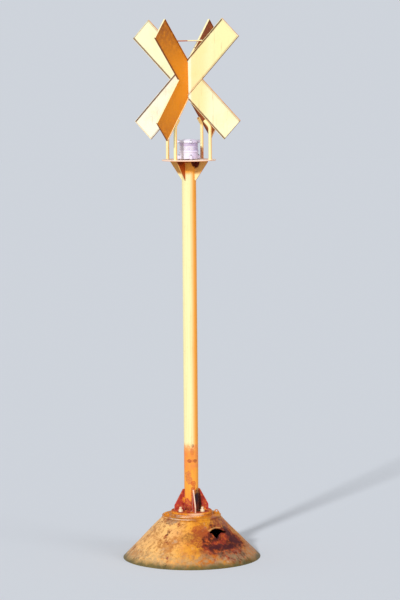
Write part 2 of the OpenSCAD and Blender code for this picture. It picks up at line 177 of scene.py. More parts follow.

# Paint, rust and salt; the pale yellow is the paint's painted lit side
YELLOW_DEEP = (242, 146, 26)
YELLOW_PALE = (252, 242, 182)
YELLOW_LOW = (240, 160, 34)
# Painted shade: the warm orange laid on the paint under the platform
UNDER_PLATFORM_SHADE = (255, 180, 70)
RUST_DARK = (74, 30, 18)
RUST_RED = (150, 52, 34)
RUST_ORANGE = (190, 88, 34)
RUST_PINK = (214, 120, 92)
SALT = (250, 228, 214)
UP = (0, 0, 1)
DOWN = (0, 0, -1)


def colour(value):
    """The linear values that shaders take for a colour of three numbers. Anything else stays as it is."""
    if not isinstance(value, tuple) or len(value) != 3:
        return value

    def linear(part):
        share = part / 255
        return share / 12.92 if share <= 0.04045 else ((share + 0.055) / 1.055) ** 2.4

    return tuple(linear(part) for part in value) + (1,)


def turned(degrees):
    return Matrix.Rotation(math.radians(degrees), 4, "Z")


def tipped(degrees):
    return Matrix.Rotation(math.radians(degrees), 4, "Y")


def moved(x, y, z):
    return Matrix.Translation((x, y, z))


def above(z):
    """A point on the axis."""
    return Vector((0, 0, z))


def polar(radius, turn, z=0):
    """A point at a distance from the axis."""
    return Vector((radius * math.cos(turn), radius * math.sin(turn), z))


def skin(count, steps, wrap=True, loop=False):
    """Faces over count rows of steps points; wrap closes each row, loop joins the last row to the first."""
    faces = []
    for k in range(count if loop else count - 1):
        low, high = k * steps, (k + 1) % count * steps
        for i in range(steps if wrap else steps - 1):
            j = (i + 1) % steps
            faces.append((low + i, low + j, high + j, high + i))
    return faces


def caps(count, steps):
    """The two end faces of such rows."""
    return [list(reversed(range(steps))), [(count - 1) * steps + i for i in range(steps)]]


def link(name, data):
    """An object of the given data, in the scene."""
    obj = bpy.data.objects.new(name, data)
    bpy.context.scene.collection.objects.link(obj)
    return obj


def camera():
    """The camera stands at the photograph's height and azimuth."""
    data = bpy.data.cameras.new("camera")
    data.sensor_fit = "VERTICAL"
    data.sensor_height = SENSOR
    data.sensor_width = SENSOR
    data.lens = FOCAL_PIXELS / PHOTO_HEIGHT * SENSOR
    data.shift_x = (PHOTO_CENTRE_X - AXIS_X) / PHOTO_HEIGHT
    data.clip_end = 2 * FLOOR_R
    obj = link("camera", data)
    obj.location = (
        math.sin(CAMERA_AZIMUTH) * CAMERA_DISTANCE,
        -math.cos(CAMERA_AZIMUTH) * CAMERA_DISTANCE,
        CAMERA_HEIGHT,
    )
    turn = Matrix.Rotation(CAMERA_AZIMUTH, 4, "Z")
    tilt = Matrix.Rotation(math.pi / 2 + CAMERA_PITCH, 4, "X")
    obj.rotation_euler = (turn @ tilt @ Matrix.Rotation(-CAMERA_ROLL, 4, "Z")).to_euler()
    bpy.context.scene.camera = obj


def sun(name, towards, strength, softness):
    data = bpy.data.lights.new(name, "SUN")
    data.energy = strength
    data.angle = math.radians(softness)
    link(name, data).rotation_euler = towards.to_track_quat("Z", "Y").to_euler()


def mesh_object(name, points, faces, material, smooth=True):
    data = bpy.data.meshes.new(name)
    data.from_pydata([tuple(p) for p in points], [], faces)
    data.validate()
    data.materials.append(material)
    if smooth:
        data.shade_smooth()
    return link(name, data)


def floor(material):
    """A pale floor at the waterline, open inside the float so that no floor shows through the tear."""
    steps = 96
    rims = (FLOOR_R, WATERLINE_R - PLATING / 2)
    points = [polar(rim, 2 * math.pi * i / steps) for rim in rims for i in range(steps)]
    mesh_object("floor", points, skin(2, steps), material, smooth=False)


class Signal:
    """A node's output. Adding, subtracting and multiplying make the Math nodes for it."""

    def __init__(self, tree, socket):
        self.tree = tree
        self.socket = socket

    def __add__(self, other):
        return self.tree.math("ADD", self, other)

    def __sub__(self, other):
        return self.tree.math("SUBTRACT", self, other)

    def __rsub__(self, other):
        return self.tree.math("SUBTRACT", other, self)

    def __mul__(self, other):
        return self.tree.math("MULTIPLY", self, other)


class Nodes:
    """A node tree with a short call for each kind of node. Every input may be a constant or a Signal."""

    def __init__(self, tree):
        self.nodes = tree.nodes
        self.links = tree.links

    def put(self, value, socket):
        """Joins an output to a socket, or writes a constant on the socket itself."""
        if isinstance(value, Signal):
            self.links.new(value.socket, socket)
        else:
            socket.default_value = value

    def node(self, kind, inputs, output=0, **settings):
        """Makes a node and gives one of its outputs. The settings come first: they choose the sockets."""
        node = self.nodes.new("ShaderNode" + kind)
        for setting, value in settings.items():
            setattr(node, setting, value)
        for key, value in inputs.items():
            self.put(value, node.inputs[key])
        return Signal(self, node.outputs[output])

    def math(self, operation, a, b, clamp=False):
        return self.node("Math", {0: a, 1: b}, operation=operation, use_clamp=clamp)

    def most(self, a, b):
        return self.math("MAXIMUM", a, b)

    def mix(self, share, a, b):
        """Goes from colour a to colour b as the share goes from 0 to 1."""
        inputs = {"Factor": share, "A": colour(a), "B": colour(b)}
        return self.node("Mix", inputs, "Result", data_type="RGBA")

    def seen(self):
        """1 for what the camera, mirrors and glass see, 0 for the light that lands on the object."""
        rays = self.nodes.new("ShaderNodeLightPath").outputs
        camera_ray, mirrored, through = (
            Signal(self, rays[f"Is {kind} Ray"]) for kind in ("Camera", "Glossy", "Transmission")
        )
        return self.most(camera_ray, self.most(mirrored, through))


class Shader(Nodes):
    """A material's nodes. Its colour is laid in layers, each over the colour so far, base."""

    def __init__(self, name, gloss=0.22):
        self.material = bpy.data.materials.new(name)
        self.material.use_nodes = True
        super().__init__(self.material.node_tree)
        self.surface = self.nodes["Principled BSDF"].inputs
        self.surface["Specular IOR Level"].default_value = gloss
        self.place = self.node("TexCoord", {}, "Object")
        self.normal = self.node("NewGeometry", {}, "Normal")
        self.base = None

    def vector(self, operation, a, b=(0, 0, 0)):
        output = "Value" if operation in ("LENGTH", "DOT_PRODUCT") else "Vector"
        return self.node("VectorMath", {0: a, 1: b}, output, operation=operation)

    def scaled(self, x, y, z):
        """The place, stretched along each axis."""
        return self.vector("MULTIPLY", self.place, (x, y, z))

    def along(self, axis):
        """The place's reach along X, Y or Z."""
        return self.node("SeparateXYZ", {0: self.place}, axis)

    def around(self, across, along):
        """A place that runs round the axis and up, so that noise on it makes upright streaks."""
        turn = self.vector("NORMALIZE", self.scaled(1, 1, 0))
        turn = self.vector("MULTIPLY", turn, (across, across, across))
        return self.vector("ADD", turn, self.scaled(0, 0, along))

    def noise(self, scale, detail=4, roughness=0.55, at=None):
        inputs = {"Vector": at or self.place, "Scale": scale, "Detail": detail, "Roughness": roughness}
        return self.node("TexNoise", inputs, "Fac")

    def fade(self, value, start, end, low=0, high=1):
        """Goes smoothly from low at start to high at end."""
        inputs = {"Value": value, "From Min": start, "From Max": end, "To Min": low, "To Max": high}
        return self.node("MapRange", inputs, "Result", interpolation_type="SMOOTHSTEP")

    def edges(self, radius):
        """1 on sharp edges and 0 on flat faces."""
        rounded = self.node("Bevel", {"Radius": radius}, "Normal", samples=4)
        return self.fade(self.vector("DOT_PRODUCT", rounded, self.normal), 0.995, 0.85)

    def facing(self, towards, *fade):
        """How far the surface faces a direction, -1 to 1, faded as given."""
        return self.fade(self.vector("DOT_PRODUCT", self.normal, towards), *fade)

    def grains(self, grain, *fade, at=None):
        """Noise of a grain (scale, detail, roughness), faded as given."""
        return self.fade(self.noise(*grain, at=at), *fade)

    def blend(self, first, second, grain, *fade):
        """Two tints, the second in patches of noise on the first."""
        return self.mix(self.grains(grain, *fade), first, second)

    def lay(self, share, tint):
        """Lays a tint over the colour so far."""
        self.base = self.mix(share, self.base, tint)

    def patches(self, tint, grain, *fade, at=None):
        """Lays a tint over the colour so far, in patches of noise."""
        self.lay(self.grains(grain, *fade, at=at), tint)

    def wave(self, scale, detail, roughness, height):
        """Noise that swings as far below 0 as above it."""
        return (self.noise(scale, detail, roughness) - 0.5) * height

    def spots(self, places, ragged=0.5, grain=22, soft=0.12):
        """1 inside each of the given spots, (centre, radii), with ragged rims."""
        nearest = None
        for centre, radii in places:
            offset = self.vector("SUBTRACT", self.place, centre)
            reach = self.vector("LENGTH", self.vector("DIVIDE", offset, radii))
            nearest = self.math("MINIMUM", nearest, reach) if nearest else reach
        return self.fade(nearest + self.wave(grain, 5, 0.7, 2 * ragged), 1 + soft, 1 - soft)

    def stain(self, stains):
        """Lays stains, each (places, tint, strength, raggedness, grain). One of strength 1 is unbroken."""
        for places, tint, strength, ragged, grain in stains:
            share = self.spots(places, ragged, grain)
            if strength < 1:
                share = share * self.grains((grain * 2.5, 5, 0.7), 0.4, 0.56, 0.35 * strength, strength)
            self.lay(share, tint)

    def rust(self, grain=70):
        """Rust's own colour: dark, red and orange patches."""
        dark = self.blend(RUST_DARK, RUST_RED, (9, 6, 0.65), 0.38, 0.62)
        return self.blend(dark, RUST_ORANGE, (grain, 5, 0.7), 0.47, 0.66)

    def finish(self, roughness, height=None, distance=0, strength=0):
        """Joins the colour, the roughness and the bump to the surface."""
        self.put(self.base, self.surface["Base Color"])
        self.put(roughness, self.surface["Roughness"])
        if height:
            inputs = {"Strength": strength, "Distance": distance, "Height": height}
            self.put(self.node("Bump", inputs, "Normal"), self.surface["Normal"])
        return self.material


def world():
    """Even light from all round; the camera, mirrors and glass see the pale backdrop instead."""
    data = bpy.data.worlds.new("studio")
    bpy.context.scene.world = data
    data.use_nodes = True
    tree = Nodes(data.node_tree)
    background = tree.nodes["Background"].inputs
    tree.put(tree.mix(tree.seen(), (AMBIENT, AMBIENT, AMBIENT, 1), BACKDROP), background["Color"])
    background["Strength"].default_value = 1


def yellow_paint(name, deep, chips, stains=(), lit_heights=(0.35, 1.7), rust_heights=(), shade_tint=UNDER_PLATFORM_SHADE):
    """Yellow paint with streaks, chipped edges and rust where it is worn through, pale on the side that
    faces the key light and deep on the others, as painted light and shade.

    The painted lit side fades in from nothing at the first of the two heights given to fully at the second,
    and is left out under the platform, where the given tint is laid as painted shade on what doesn't look
    to the right.
    Each pair in rust_heights is rusted at its first height and sound at its second.
    """
    s = Shader(name)
    z = s.along("Z")
    mottle = s.noise(38, 5, 0.6)
    # Painted light: the side that faces the key light is painted pale, from a height on
    lit_side = s.facing(PAINTED_LIGHT_FROM, -0.15, 0.65) * s.fade(z + s.wave(11, 6, 0.7, 0.16), *lit_heights)
    lit_side = s.math("ADD", lit_side, s.wave(3.2, 3, 0.55, 0.2), clamp=True)
    # Painted shade under the platform: a warm tint on what doesn't look to the right, in place of the pale
    # side
    under = PLATFORM_TOP - PLATFORM_T / 2
    platform_shade = s.fade(z, under - 0.15, under - 0.1) * s.fade(z, under + 0.001, under)
    s.base = s.mix(lit_side * (1 - platform_shade), deep, YELLOW_PALE)
    s.lay(platform_shade * s.facing((0.707, -0.707, 0), 0.75, 0.45, 0, 0.9), shade_tint)
    # Grime runs down in faint streaks, salt lies on what faces up
    s.patches((196, 124, 44), (1, 3, 0.6), 0.5, 0.7, 0, 0.3, at=s.around(9, 1.1))
    s.lay(s.fade(mottle, 0.55, 0.75, 0, 0.14), (214, 128, 48))
    salty = s.facing(UP, 0.7, 0.95) * s.grains((14, 5, 0.6), 0.3, 0.55)
    s.lay(salty * 0.85, SALT)
    s.stain(stains)
    # Worn edges and chips
    worn = s.edges(0.003) * s.grains((26, 4, 0.65), 0.46, 0.62)
    chipped = s.grains((17, 6, 0.72), 0.71 - 0.02 * chips, 0.75)
    rusty = s.most(worn, chipped) * chips
    for rusted, sound in rust_heights:
        wavy = z + s.wave(9, 6, 0.7, 2 * abs(sound - rusted))
        rusty = s.most(rusty, s.fade(wavy, sound, rusted))
    s.lay(rusty, s.rust())
    rough = s.fade(mottle, 0.4, 0.7, 0.42, 0.56) + rusty * 0.32
    height = s.noise(60, 2) * 0.25 + rusty * s.noise(150, 4, 0.7) * 1.4
    return s.finish(rough, height, 0.0012, 0.6)


def platform_paint(name):
    """The lantern platform: pink-white with salt and droppings above, orange rim, rust brown below."""
    s = Shader(name)
    top = s.blend((255, 234, 220), (236, 190, 158), (18, 5, 0.65), 0.38, 0.62)
    rim_share = s.fade(s.along("Z"), PLATFORM_TOP - 0.009, PLATFORM_TOP - 0.005)
    rim = s.mix(rim_share, (240, 150, 70), (255, 232, 214))
    below = s.blend((190, 90, 26), (120, 48, 20), (9, 6, 0.7), 0.4, 0.6)
    s.base = s.mix(s.facing(UP, 0.4, 0.8), rim, top)
    s.lay(s.facing(DOWN, 0.4, 0.8), below)
    s.patches(s.rust(), (13, 6, 0.72), 0.6, 0.66, 0, 0.8)
    return s.finish(0.6, s.noise(90, 5, 0.7), 0.0015, 0.6)


def cross_dirt_and_shade(s, line=0, line_axis=None):
    """What both crosses share: streaks, specks, a painted shadow of the edging on the plate, painted shade
    on faces that look down, and rusty edges.

    line_axis is a place on the strip's middle line and the direction across it: the painted shadow has the
    strength line on that side, and is faint on the other.
    """
    streaks, runs = s.scaled(16, 16, 2.2), s.scaled(42, 42, 3)
    s.patches((176, 116, 60), (1, 4, 0.65), 0.56, 0.76, 0, 0.22, at=streaks)
    s.patches((170, 110, 50), (120, 4, 0.7), 0.66, 0.74, 0, 0.5)
    # Painted shadow: a dark line on the plate just inside the edging, as the edging's cast shadow
    if line_axis:
        middle, across = line_axis
        off = s.vector("DOT_PRODUCT", s.vector("SUBTRACT", s.place, middle), across)
        border = STRIP_W / 2 - EDGING_T
        ragged = s.wave(34, 5, 0.7, 0.01)
        for side, strength in ((1, line), (-1, 0.35)):
            reach = off * side
            on_plate = s.fade(reach, border + 0.0006, border)
            edging_shadow = s.fade(reach + ragged, border - 0.016, border - 0.007, 0, strength) * on_plate
            s.lay(edging_shadow, (104, 50, 22))
    # Runs of rust, and chips
    s.patches((186, 92, 34), (1, 3, 0.6), 0.64, 0.74, 0, 0.35, at=runs)
    s.patches(s.rust(), (15, 6, 0.74), 0.665, 0.7, 0, 0.85)
    # Painted shade: darker brown on faces that look down
    s.lay(s.facing(DOWN, 0.3, 0.65, 0, 0.85), (122, 62, 28))
    worn = s.edges(0.003) * s.grains((22, 5, 0.7), 0.46, 0.6, 0, 0.8)
    s.lay(worn, s.rust())


def first_cross_paint(name, left, right, line, line_axis):
    """The first cross, from its left tint to its right, with a band at its middle; pale on the side that
    faces the key light and deep on the other sides, as painted light and shade.
    """
    s = Shader(name)
    along = s.vector("DOT_PRODUCT", s.place, polar(1, math.radians(CROSS_TURN - 45)))
    s.base = s.mix(s.fade(along, -0.25, 0.4), left, right)
    s.lay(s.fade(along, 0, 0.06) * s.fade(along, 0.26, 0.14, 0, 0.7), (248, 234, 166))
    s.lay(s.fade(along, -0.03, 0) * s.fade(along, 0.036, 0.026), (255, 255, 226))
    s.patches((250, 234, 160), (5, 4, 0.6), 0.48, 0.72, 0, 0.3)
    # Lit and shaded copies of the paint: the pale one where the surface faces the key light, a deep one
    # elsewhere (painted light and shade)
    shaded = s.blend(YELLOW_DEEP, (214, 116, 26), (11, 5, 0.65), 0.4, 0.65)
    s.base = s.mix(s.facing(PAINTED_LIGHT_FROM, -0.05, 0.65), shaded, s.base)
    cross_dirt_and_shade(s, line, line_axis)
    return s.finish(0.52, s.noise(45), 0.0012, 0.5)


def second_cross_paint(name, deep, brown):
    """The second cross: deep orange-yellow, mottled and darker and browner towards its tips as painted
    shade, and painted pale on the side that faces the key light as painted light.
    """
    s = Shader(name)
    z = s.along("Z")
    mid = PLATFORM_TOP + CROSS_UP
    tip = s.most(s.fade(z, mid + 0.05, mid + 0.62, 0, 0.9), s.fade(z, mid - 0.15, mid - 0.62, 0, 0.4))
    # Painted shade: darker and browner towards the tips, in mottled patches
    s.base = s.mix(tip * s.grains((26, 6, 0.7), 0.28, 0.6, 0.25, 1), deep, brown)
    s.patches((226, 120, 30), (7, 4, 0.6), 0.5, 0.72, 0, 0.3)
    # Painted light: pale on the side that faces the key light
    s.lay(s.facing(PAINTED_LIGHT_FROM, 0.3, 0.65), (252, 242, 190))
    cross_dirt_and_shade(s)
    return s.finish(0.52, s.noise(45), 0.0012, 0.5)


def rusted_paint(name, islands=0.06, rim=False):
    """Paint that has mostly gone: red and pink rust with islands of the old yellow, or a yellow rim, with a
    painted shadow behind the front gusset and painted highlights on edges.
    """
    s = Shader(name)
    aside, far_aside = (s.vector("ADD", s.place, shift) for shift in ((3, 1, 2), (7, 2, 5)))
    s.base = s.blend((150, 40, 30), (182, 58, 50), (8, 6, 0.65), 0.38, 0.62)
    s.patches((212, 100, 46), (21, 6, 0.7), 0.48, 0.62, 0, 0.8)
    s.patches(RUST_PINK, (33, 5, 0.7), 0.52, 0.66, 0, 0.6, at=aside)
    s.patches((76, 24, 20), (15, 6, 0.75), 0.6, 0.68, 0, 0.9)
    s.patches(YELLOW_LOW, (13, 6, 0.7), 0.62 - islands, 0.66 - islands, 0, 0.85, at=far_aside)
    # Painted shadow: a near-black patch in the corner behind the front gusset, where its shadow falls
    corner = s.spots([((0.055, -0.025, MAST_FOOT + 0.06), (0.045, 0.065, 0.16))], 0.3, 14)
    s.lay(corner * 0.9, (40, 10, 10))
    # Pale edges: worn paint, and a painted highlight where the edges catch the light
    s.lay(s.edges(0.005) * s.grains((30, 4, 0.65), 0.3, 0.5, 0.25, 0.9), (240, 192, 164))
    if rim:
        reach = s.vector("LENGTH", s.scaled(1, 1, 0))
        golden = s.blend((240, 160, 44), (204, 108, 36), (26, 5, 0.7), 0.42, 0.6)
        s.lay(s.fade(reach, FLANGE_R - 0.004, FLANGE_R - 0.001, 0, 0.9), golden)
    # Painted highlight: the front gusset's sloping edge, which faces the light, is painted pale
    front = s.facing((0, -0.9, 0.436), 0.8, 0.95) * s.fade(s.along("Y"), -0.068, -0.074)
    s.lay(front * 0.8, (246, 214, 190))
    return s.finish(0.82, s.noise(120, 5, 0.75), 0.002, 0.8)


def float_paint(name):
    """The float's paint above the water: stained yellow, rust round the tear and slime at the waterline,
    with painted light and shade on its sides and round the tear, and painted highlights on rims and on the
    tear's lip.
    """
    s = Shader(name)
    s.base = s.blend((232, 156, 32), (206, 116, 28), (5.5, 6, 0.65), 0.4, 0.62)
    # Painted shade: darker and browner towards the right front
    right = s.fade(s.vector("DOT_PRODUCT", s.place, (0.5, -0.4, 0)), 0.08, 0.3)
    s.lay(right * s.grains((12, 6, 0.7), 0.34, 0.6, 0.1, 0.75), (160, 84, 34))
    # Painted light: paler on the side that faces up and to the left, towards the key light
    s.lay(s.facing((-0.9, -0.2, 0.4), 0.45, 1, 0, 0.85), (252, 200, 128))
    s.patches((176, 104, 40), (1, 4, 0.65), 0.48, 0.7, 0, 0.5, at=s.around(8, 3))
    s.patches((178, 104, 34), (4.2, 7, 0.75), 0.5, 0.6, 0, 0.7)
    s.patches((150, 88, 28), (30, 5, 0.7), 0.5, 0.64, 0, 0.6)
    s.patches((196, 170, 140), (9, 6, 0.7), 0.58, 0.68, 0, 0.6)
    s.stain(FLOAT_STAINS)
    rusty = s.most(s.grains((6.5, 7, 0.75), 0.57, 0.64), s.spots(TEAR_RUST, 1.3, 9, 0.3))
    rusty = s.most(rusty, s.edges(0.006) * s.grains((18, 5, 0.7), 0.42, 0.58, 0, 0.8))
    s.lay(rusty, s.rust(30))
    # Painted shade: dark purple-brown patches round the tear, beside it and below it
    s.lay(s.spots(TEAR_SHADE, 1.2, 12, 0.4) * 0.85, (60, 20, 28))
    # Painted highlights: pale lines on the edges of the flange and the deck, and a pale lip over the tear,
    # where they catch the light
    s.lay(s.edges(0.014) * s.spots(RIM_HIGHLIGHTS, 0.5, 16, 0.3), (255, 236, 212))
    s.lay(s.spots(TEAR_LIP_HIGHLIGHT, 0.5, 70, 0.5) * 0.4, (246, 188, 112))
    # A grey tide band, then green slime at the water
    wavy = s.along("Z") + s.noise(10, 5, 0.65) * 0.09
    tide = s.fade(wavy, 0.21, 0.11, 0, 0.65) * s.grains((24, 5, 0.7), 0.36, 0.6)
    s.lay(tide, (176, 150, 112))
    slime = s.blend((84, 84, 40), (60, 66, 34), (40,), 0.4, 0.6)
    s.lay(s.fade(wavy, 0.11, 0.055, 0, 0.85), slime)
    height = rusty * s.noise(110, 5, 0.75) + s.noise(30, 3)
    return s.finish(s.fade(rusty, 0, 1, 0.5, 0.85), height, 0.003, 0.7)


def nut_paint(name):
    """Cream paint on the foot's nuts, rusty at their feet and on their corners."""
    s = Shader(name)
    low = s.fade(s.along("Z") + s.noise(90) * 0.012, MAST_FOOT + 0.014, MAST_FOOT + 0.006)
    worn = s.edges(0.002) * s.grains((120,), 0.46, 0.6)
    s.base = s.blend((246, 230, 198), (226, 190, 140), (60,), 0.4, 0.7)
    s.lay(s.most(low, worn) * 0.8, s.rust())
    return s.finish(0.6, s.noise(200), 0.0004, 0.5)


def fouled(name):
    """Old red antifouling paint under slime and small growth."""
    s = Shader(name)
    s.base = s.blend((112, 44, 34), (74, 38, 30), (5, 6, 0.7), 0.4, 0.62)
    shallow = s.fade(s.along("Z"), -1.3, -0.1, 0.25, 1)
    s.lay(s.grains((4, 6, 0.7), 0.48, 0.62) * shallow, (66, 74, 34))
    specks = s.grains((95, 5, 0.75), 0.6, 0.68)
    s.lay(specks * 0.55, (176, 164, 140))
    s.patches((84, 62, 40), (17, 6, 0.72), 0.54, 0.64, 0, 0.8)
    return s.finish(0.8, specks * 0.6 + s.noise(60, 6, 0.7), 0.005, 0.8)


def rusty_steel(name):
    """The shackle and the ballast's rods: brown steel, brighter on its edges."""
    s = Shader(name)
    s.base = s.blend((64, 40, 30), (122, 66, 40), (24, 6, 0.7), 0.42, 0.6)
    s.lay(s.edges(0.003) * s.grains((60, 3), 0.45, 0.6) * 0.6, (150, 132, 118))
    return s.finish(0.7, s.noise(160, 5, 0.75), 0.0015, 0.8)


def clear_plastic(name):
    """The lens: clear, a little clouded by salt and sun, with painted shade: a darker lilac on the side
    away from the key light.
    """
    s = Shader(name, 0.5)
    cloud = s.noise(30, 5, 0.6)
    s.base = s.mix(s.fade(cloud, 0.4, 0.7), (252, 248, 255), (240, 230, 255))
    # Painted shade: darker lilac where the surface turns away from the key light
    s.lay(s.facing(KEY_FROM, 0.8, 0.45, 0, 0.8), (208, 188, 230))
    s.surface["Transmission Weight"].default_value = 0.14
    s.surface["IOR"].default_value = 1.45
    return s.finish(s.fade(cloud, 0.35, 0.7, 0.12, 0.26), cloud, 0.0006, 0.3)


def lantern_shell(name):
    """The lantern's pale moulded housing and cap, with faint runs and painted shade: a darker lilac on the
    side away from the key light.
    """
    s = Shader(name, 0.5)
    s.base = s.blend((246, 244, 255), (232, 228, 252), (10,), 0.35, 0.75)
    s.patches((200, 180, 206), (1, 3, 0.6), 0.56, 0.74, 0, 0.22, at=s.around(16, 5))
    # Painted shade: darker lilac where the surface turns away from the key light
    s.lay(s.facing(KEY_FROM, 0.8, 0.45, 0, 0.8), (214, 200, 232))
    return s.finish(0.34, s.noise(140, 3), 0.0005, 0.4)


# Plain finishes: two tints with the noise and the fade that part them, the roughness, and the bump's noise,
# depth and strength
PLAIN = {
    "ballast_iron": (
        (58, 44, 36), (104, 58, 38), (7, 6, 0.7), (0.4, 0.62), 0.85, (90, 6, 0.75), 0.003, 0.9,
    ),
    "gasket_rubber": ((26, 24, 23), (48, 42, 38), (80,), (0.4, 0.65), 0.75, (200,), 0.0005, 0.5),
    "lamp_dark": ((40, 40, 44), (62, 62, 68), (50,), (0.4, 0.65), 0.45, (180,), 0.0004, 0.4),
    "stud_steel": ((172, 170, 174), (140, 132, 128), (70,), (0.4, 0.65), 0.42, (220, 3), 0.0004, 0.4),
    "barnacle_shell": ((216, 206, 184), (160, 140, 112), (90,), (0.4, 0.65), 0.75, (500, 3), 0.0006, 0.6),
    "weed_green": ((58, 78, 26), (104, 96, 38), (12,), (0.38, 0.64), 0.45, (160, 3), 0.0006, 0.6),
    "rust_bare": ((88, 32, 22), (168, 66, 34), (60, 6, 0.75), (0.4, 0.62), 0.88, (60, 6, 0.75), 0.003, 0.9),
}
# Second patches on three of them: slime on the iron, dried salt on the gasket's rim, dark scale on the rust
OVER_PLAIN = {
    "ballast_iron": ((92, 96, 58), (40, 5, 0.7), 0.56, 0.68, 0, 0.5),
    "gasket_rubber": ((240, 222, 190), (12, 5, 0.7), 0.42, 0.56, 0.1, 0.85),
    "rust_bare": ((48, 22, 20), (9,), 0.42, 0.62, 0, 0.7),
}


def plain(name, gloss=0.22, metallic=0):
    """One of the plain finishes of the tables above."""
    first, second, grain, fade, roughness, fine, depth, strength = PLAIN[name]
    s = Shader(name, gloss)
    s.surface["Metallic"].default_value = metallic
    s.base = s.blend(first, second, grain, *fade)
    if name in OVER_PLAIN:
        s.patches(*OVER_PLAIN[name])
    return s.finish(roughness, s.noise(*fine), depth, strength)


def floor_matt(name):
    """Pale for the camera, and darker for the light that it throws back up, as open water would be."""
    s = Shader(name, 0)
    pale = tuple(min(1, part / FLOOR_LIGHT) for part in BACKDROP[:3]) + (1,)
    s.base = s.mix(s.seen(), FLOOR_BOUNCE, pale)
    return s.finish(1)


def lathe(profile, steps=48):
    """A profile of (radius, height), turned round the z axis. A radius of 0 closes an end in a point."""
    points, faces, rows = [], [], []
    for radius, height in profile:
        count = 1 if radius == 0 else steps
        rows.append([len(points) + i for i in range(count)])
        points += [polar(radius, 2 * math.pi * i / steps, height) for i in range(count)]
    for low, high in zip(rows, rows[1:]):
        for i in range(steps):
            j = (i + 1) % steps
            if len(low) == 1:
                faces.append((low[0], high[j], high[i]))
            elif len(high) == 1:
                faces.append((low[i], low[j], high[0]))
            else:
                faces.append((low[i], low[j], high[j], high[i]))
    return points, faces


def hexagon(radius, height, chamfer, steps=36):
    """A hexagonal nut or bolt head whose corners are rounded off at the top."""
    flat = radius * math.cos(math.pi / 6)

    def outline(turn):
        return flat / math.cos((turn + math.pi / 6) % (math.pi / 3) - math.pi / 6)

    levels = [(0, 1), (height - chamfer, 1), (height, 0)]
    points = []
    for z, share in levels:
        for i in range(steps):
            turn = 2 * math.pi * i / steps
            points.append(polar(share * outline(turn) + (1 - share) * flat * 0.95, turn, z))
    return points, skin(len(levels), steps) + caps(len(levels), steps)


def threaded(radius, low, high, pitch, steps=20):
    """A stud: its end is bevelled and its thread is a row of ridges."""
    profile = [(0, low), (radius, low)]
    z = low
    while z < high - pitch:
        profile += [(radius, z + pitch * 0.15), (radius * 0.9, z + pitch * 0.6)]
        z += pitch
    profile += [(radius * 0.92, high - pitch / 2), (radius * 0.75, high), (0, high)]
    return lathe(profile, steps)


def bar(low, high, bevel=0.0008):
    """A straight bar with chamfered long edges, between two corners."""
    (x0, y0, z0), (x1, y1, z1) = low, high
    outline = [
        (y0 + bevel, z0), (y1 - bevel, z0), (y1, z0 + bevel), (y1, z1 - bevel),
        (y1 - bevel, z1), (y0 + bevel, z1), (y0, z1 - bevel), (y0, z0 + bevel),
    ]
    points = [(x, y, z) for x in (x0, x1) for y, z in outline]
    return points, skin(2, len(outline)) + caps(2, len(outline))


def tube_along(path, radius, sides=6, closed=False):
    """A round bar along a path of points; radius is a function of the point's number."""
    points = []
    count = len(path)
    for k in range(count):
        ahead = path[(k + 1) % count] if closed or k + 1 < count else path[k]
        behind = path[k - 1] if closed or k > 0 else path[k]
        along = (ahead - behind).normalized()
        side = along.cross(Vector((0.3, 0.2, 1))).normalized()
        up = side.cross(along)
        for i in range(sides):
            turn = 2 * math.pi * i / sides
            points.append(path[k] + (side * math.cos(turn) + up * math.sin(turn)) * radius(k))
    faces = skin(count, sides, loop=closed)
    return points, faces if closed else faces + caps(count, sides)


class Shape:
    """Points and faces that grow piece by piece into one joined mesh."""

    def __init__(self):
        self.points = []
        self.faces = []

    def add(self, part, place=Matrix.Identity(4)):
        points, faces = part
        start = len(self.points)
        self.points += [place @ Vector(p) for p in points]
        self.faces += [[start + i for i in face] for face in faces]

    def weld(self, path, size, place=Matrix.Identity(4), closed=False):
        """A weld bead with its ripples, along a path."""

        def ripple(k):
            return size * (0.78 + 0.22 * abs(math.sin(k * 1.9)) + 0.16 * noise.noise(path[k] * 60))

        self.add(tube_along(path, ripple, closed=closed), place)

    def seam(self, start, end, size, place=Matrix.Identity(4), step=0.004):
        """A straight weld bead."""
        count = max(3, int((end - start).length / step))
        self.weld([start.lerp(end, k / (count - 1)) for k in range(count)], size, place)

    def ring(self, centre, radius, size, step=0.004):
        """A weld bead round a level circle."""
        count = int(2 * math.pi * radius / step)
        path = [centre + polar(1, 2 * math.pi * k / count) * radius for k in range(count)]
        self.weld(path, size, closed=True)

    def ribs(self, first, count, side, size, *seams):
        """Beads on both faces of plates that stand out from the axis, each seam from (x, z) to (x, z)."""
        for k in range(count):
            for y in (-side, side):
                for (x0, z0), (x1, z1) in seams:
                    place = turned(first + 360 / count * k)
                    self.seam(Vector((x0, y, z0)), Vector((x1, y, z1)), size, place)

    def make(self, name, material, slot, smooth=True, body="buoy"):
        obj = mesh_object(name, self.points, self.faces, material, smooth)
        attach(obj, body)
        return obj


def steel_sheet(name, points, faces, material, thickness, offset):
    """A piece of the float's plate, drawn as one surface and then given its thickness."""
    obj = mesh_object(name, points, faces, material)
    thick = obj.modifiers.new("plate", "SOLIDIFY")
    thick.thickness = thickness
    thick.offset = offset
    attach(obj, "buoy")
    return obj


def cone_point(turn, slant, lift=0):
    """A point of the float's cone, by its direction, its way down from the top edge and its lift."""
    radius = CONE_TOP_R + slant * CONE_SIN + lift * CONE_COS
    return polar(radius, turn, CONE_TOP - slant * CONE_COS + lift * CONE_SIN)


# The tear's outline in millimetres: across, then down from the deck's edge, as in the construction
TEAR = [
    (-104, 129), (-63, 113), (-10, 108), (32, 113), (112, 154),
    (71, 181), (20, 172), (-22, 189), (-70, 229), (-89, 179),
]
TEAR_TOP_CORNERS = 5
CURL = 0.011
CURL_REACH = 0.016
NEAR_TEAR = 0.3
TONGUE_T = 0.005


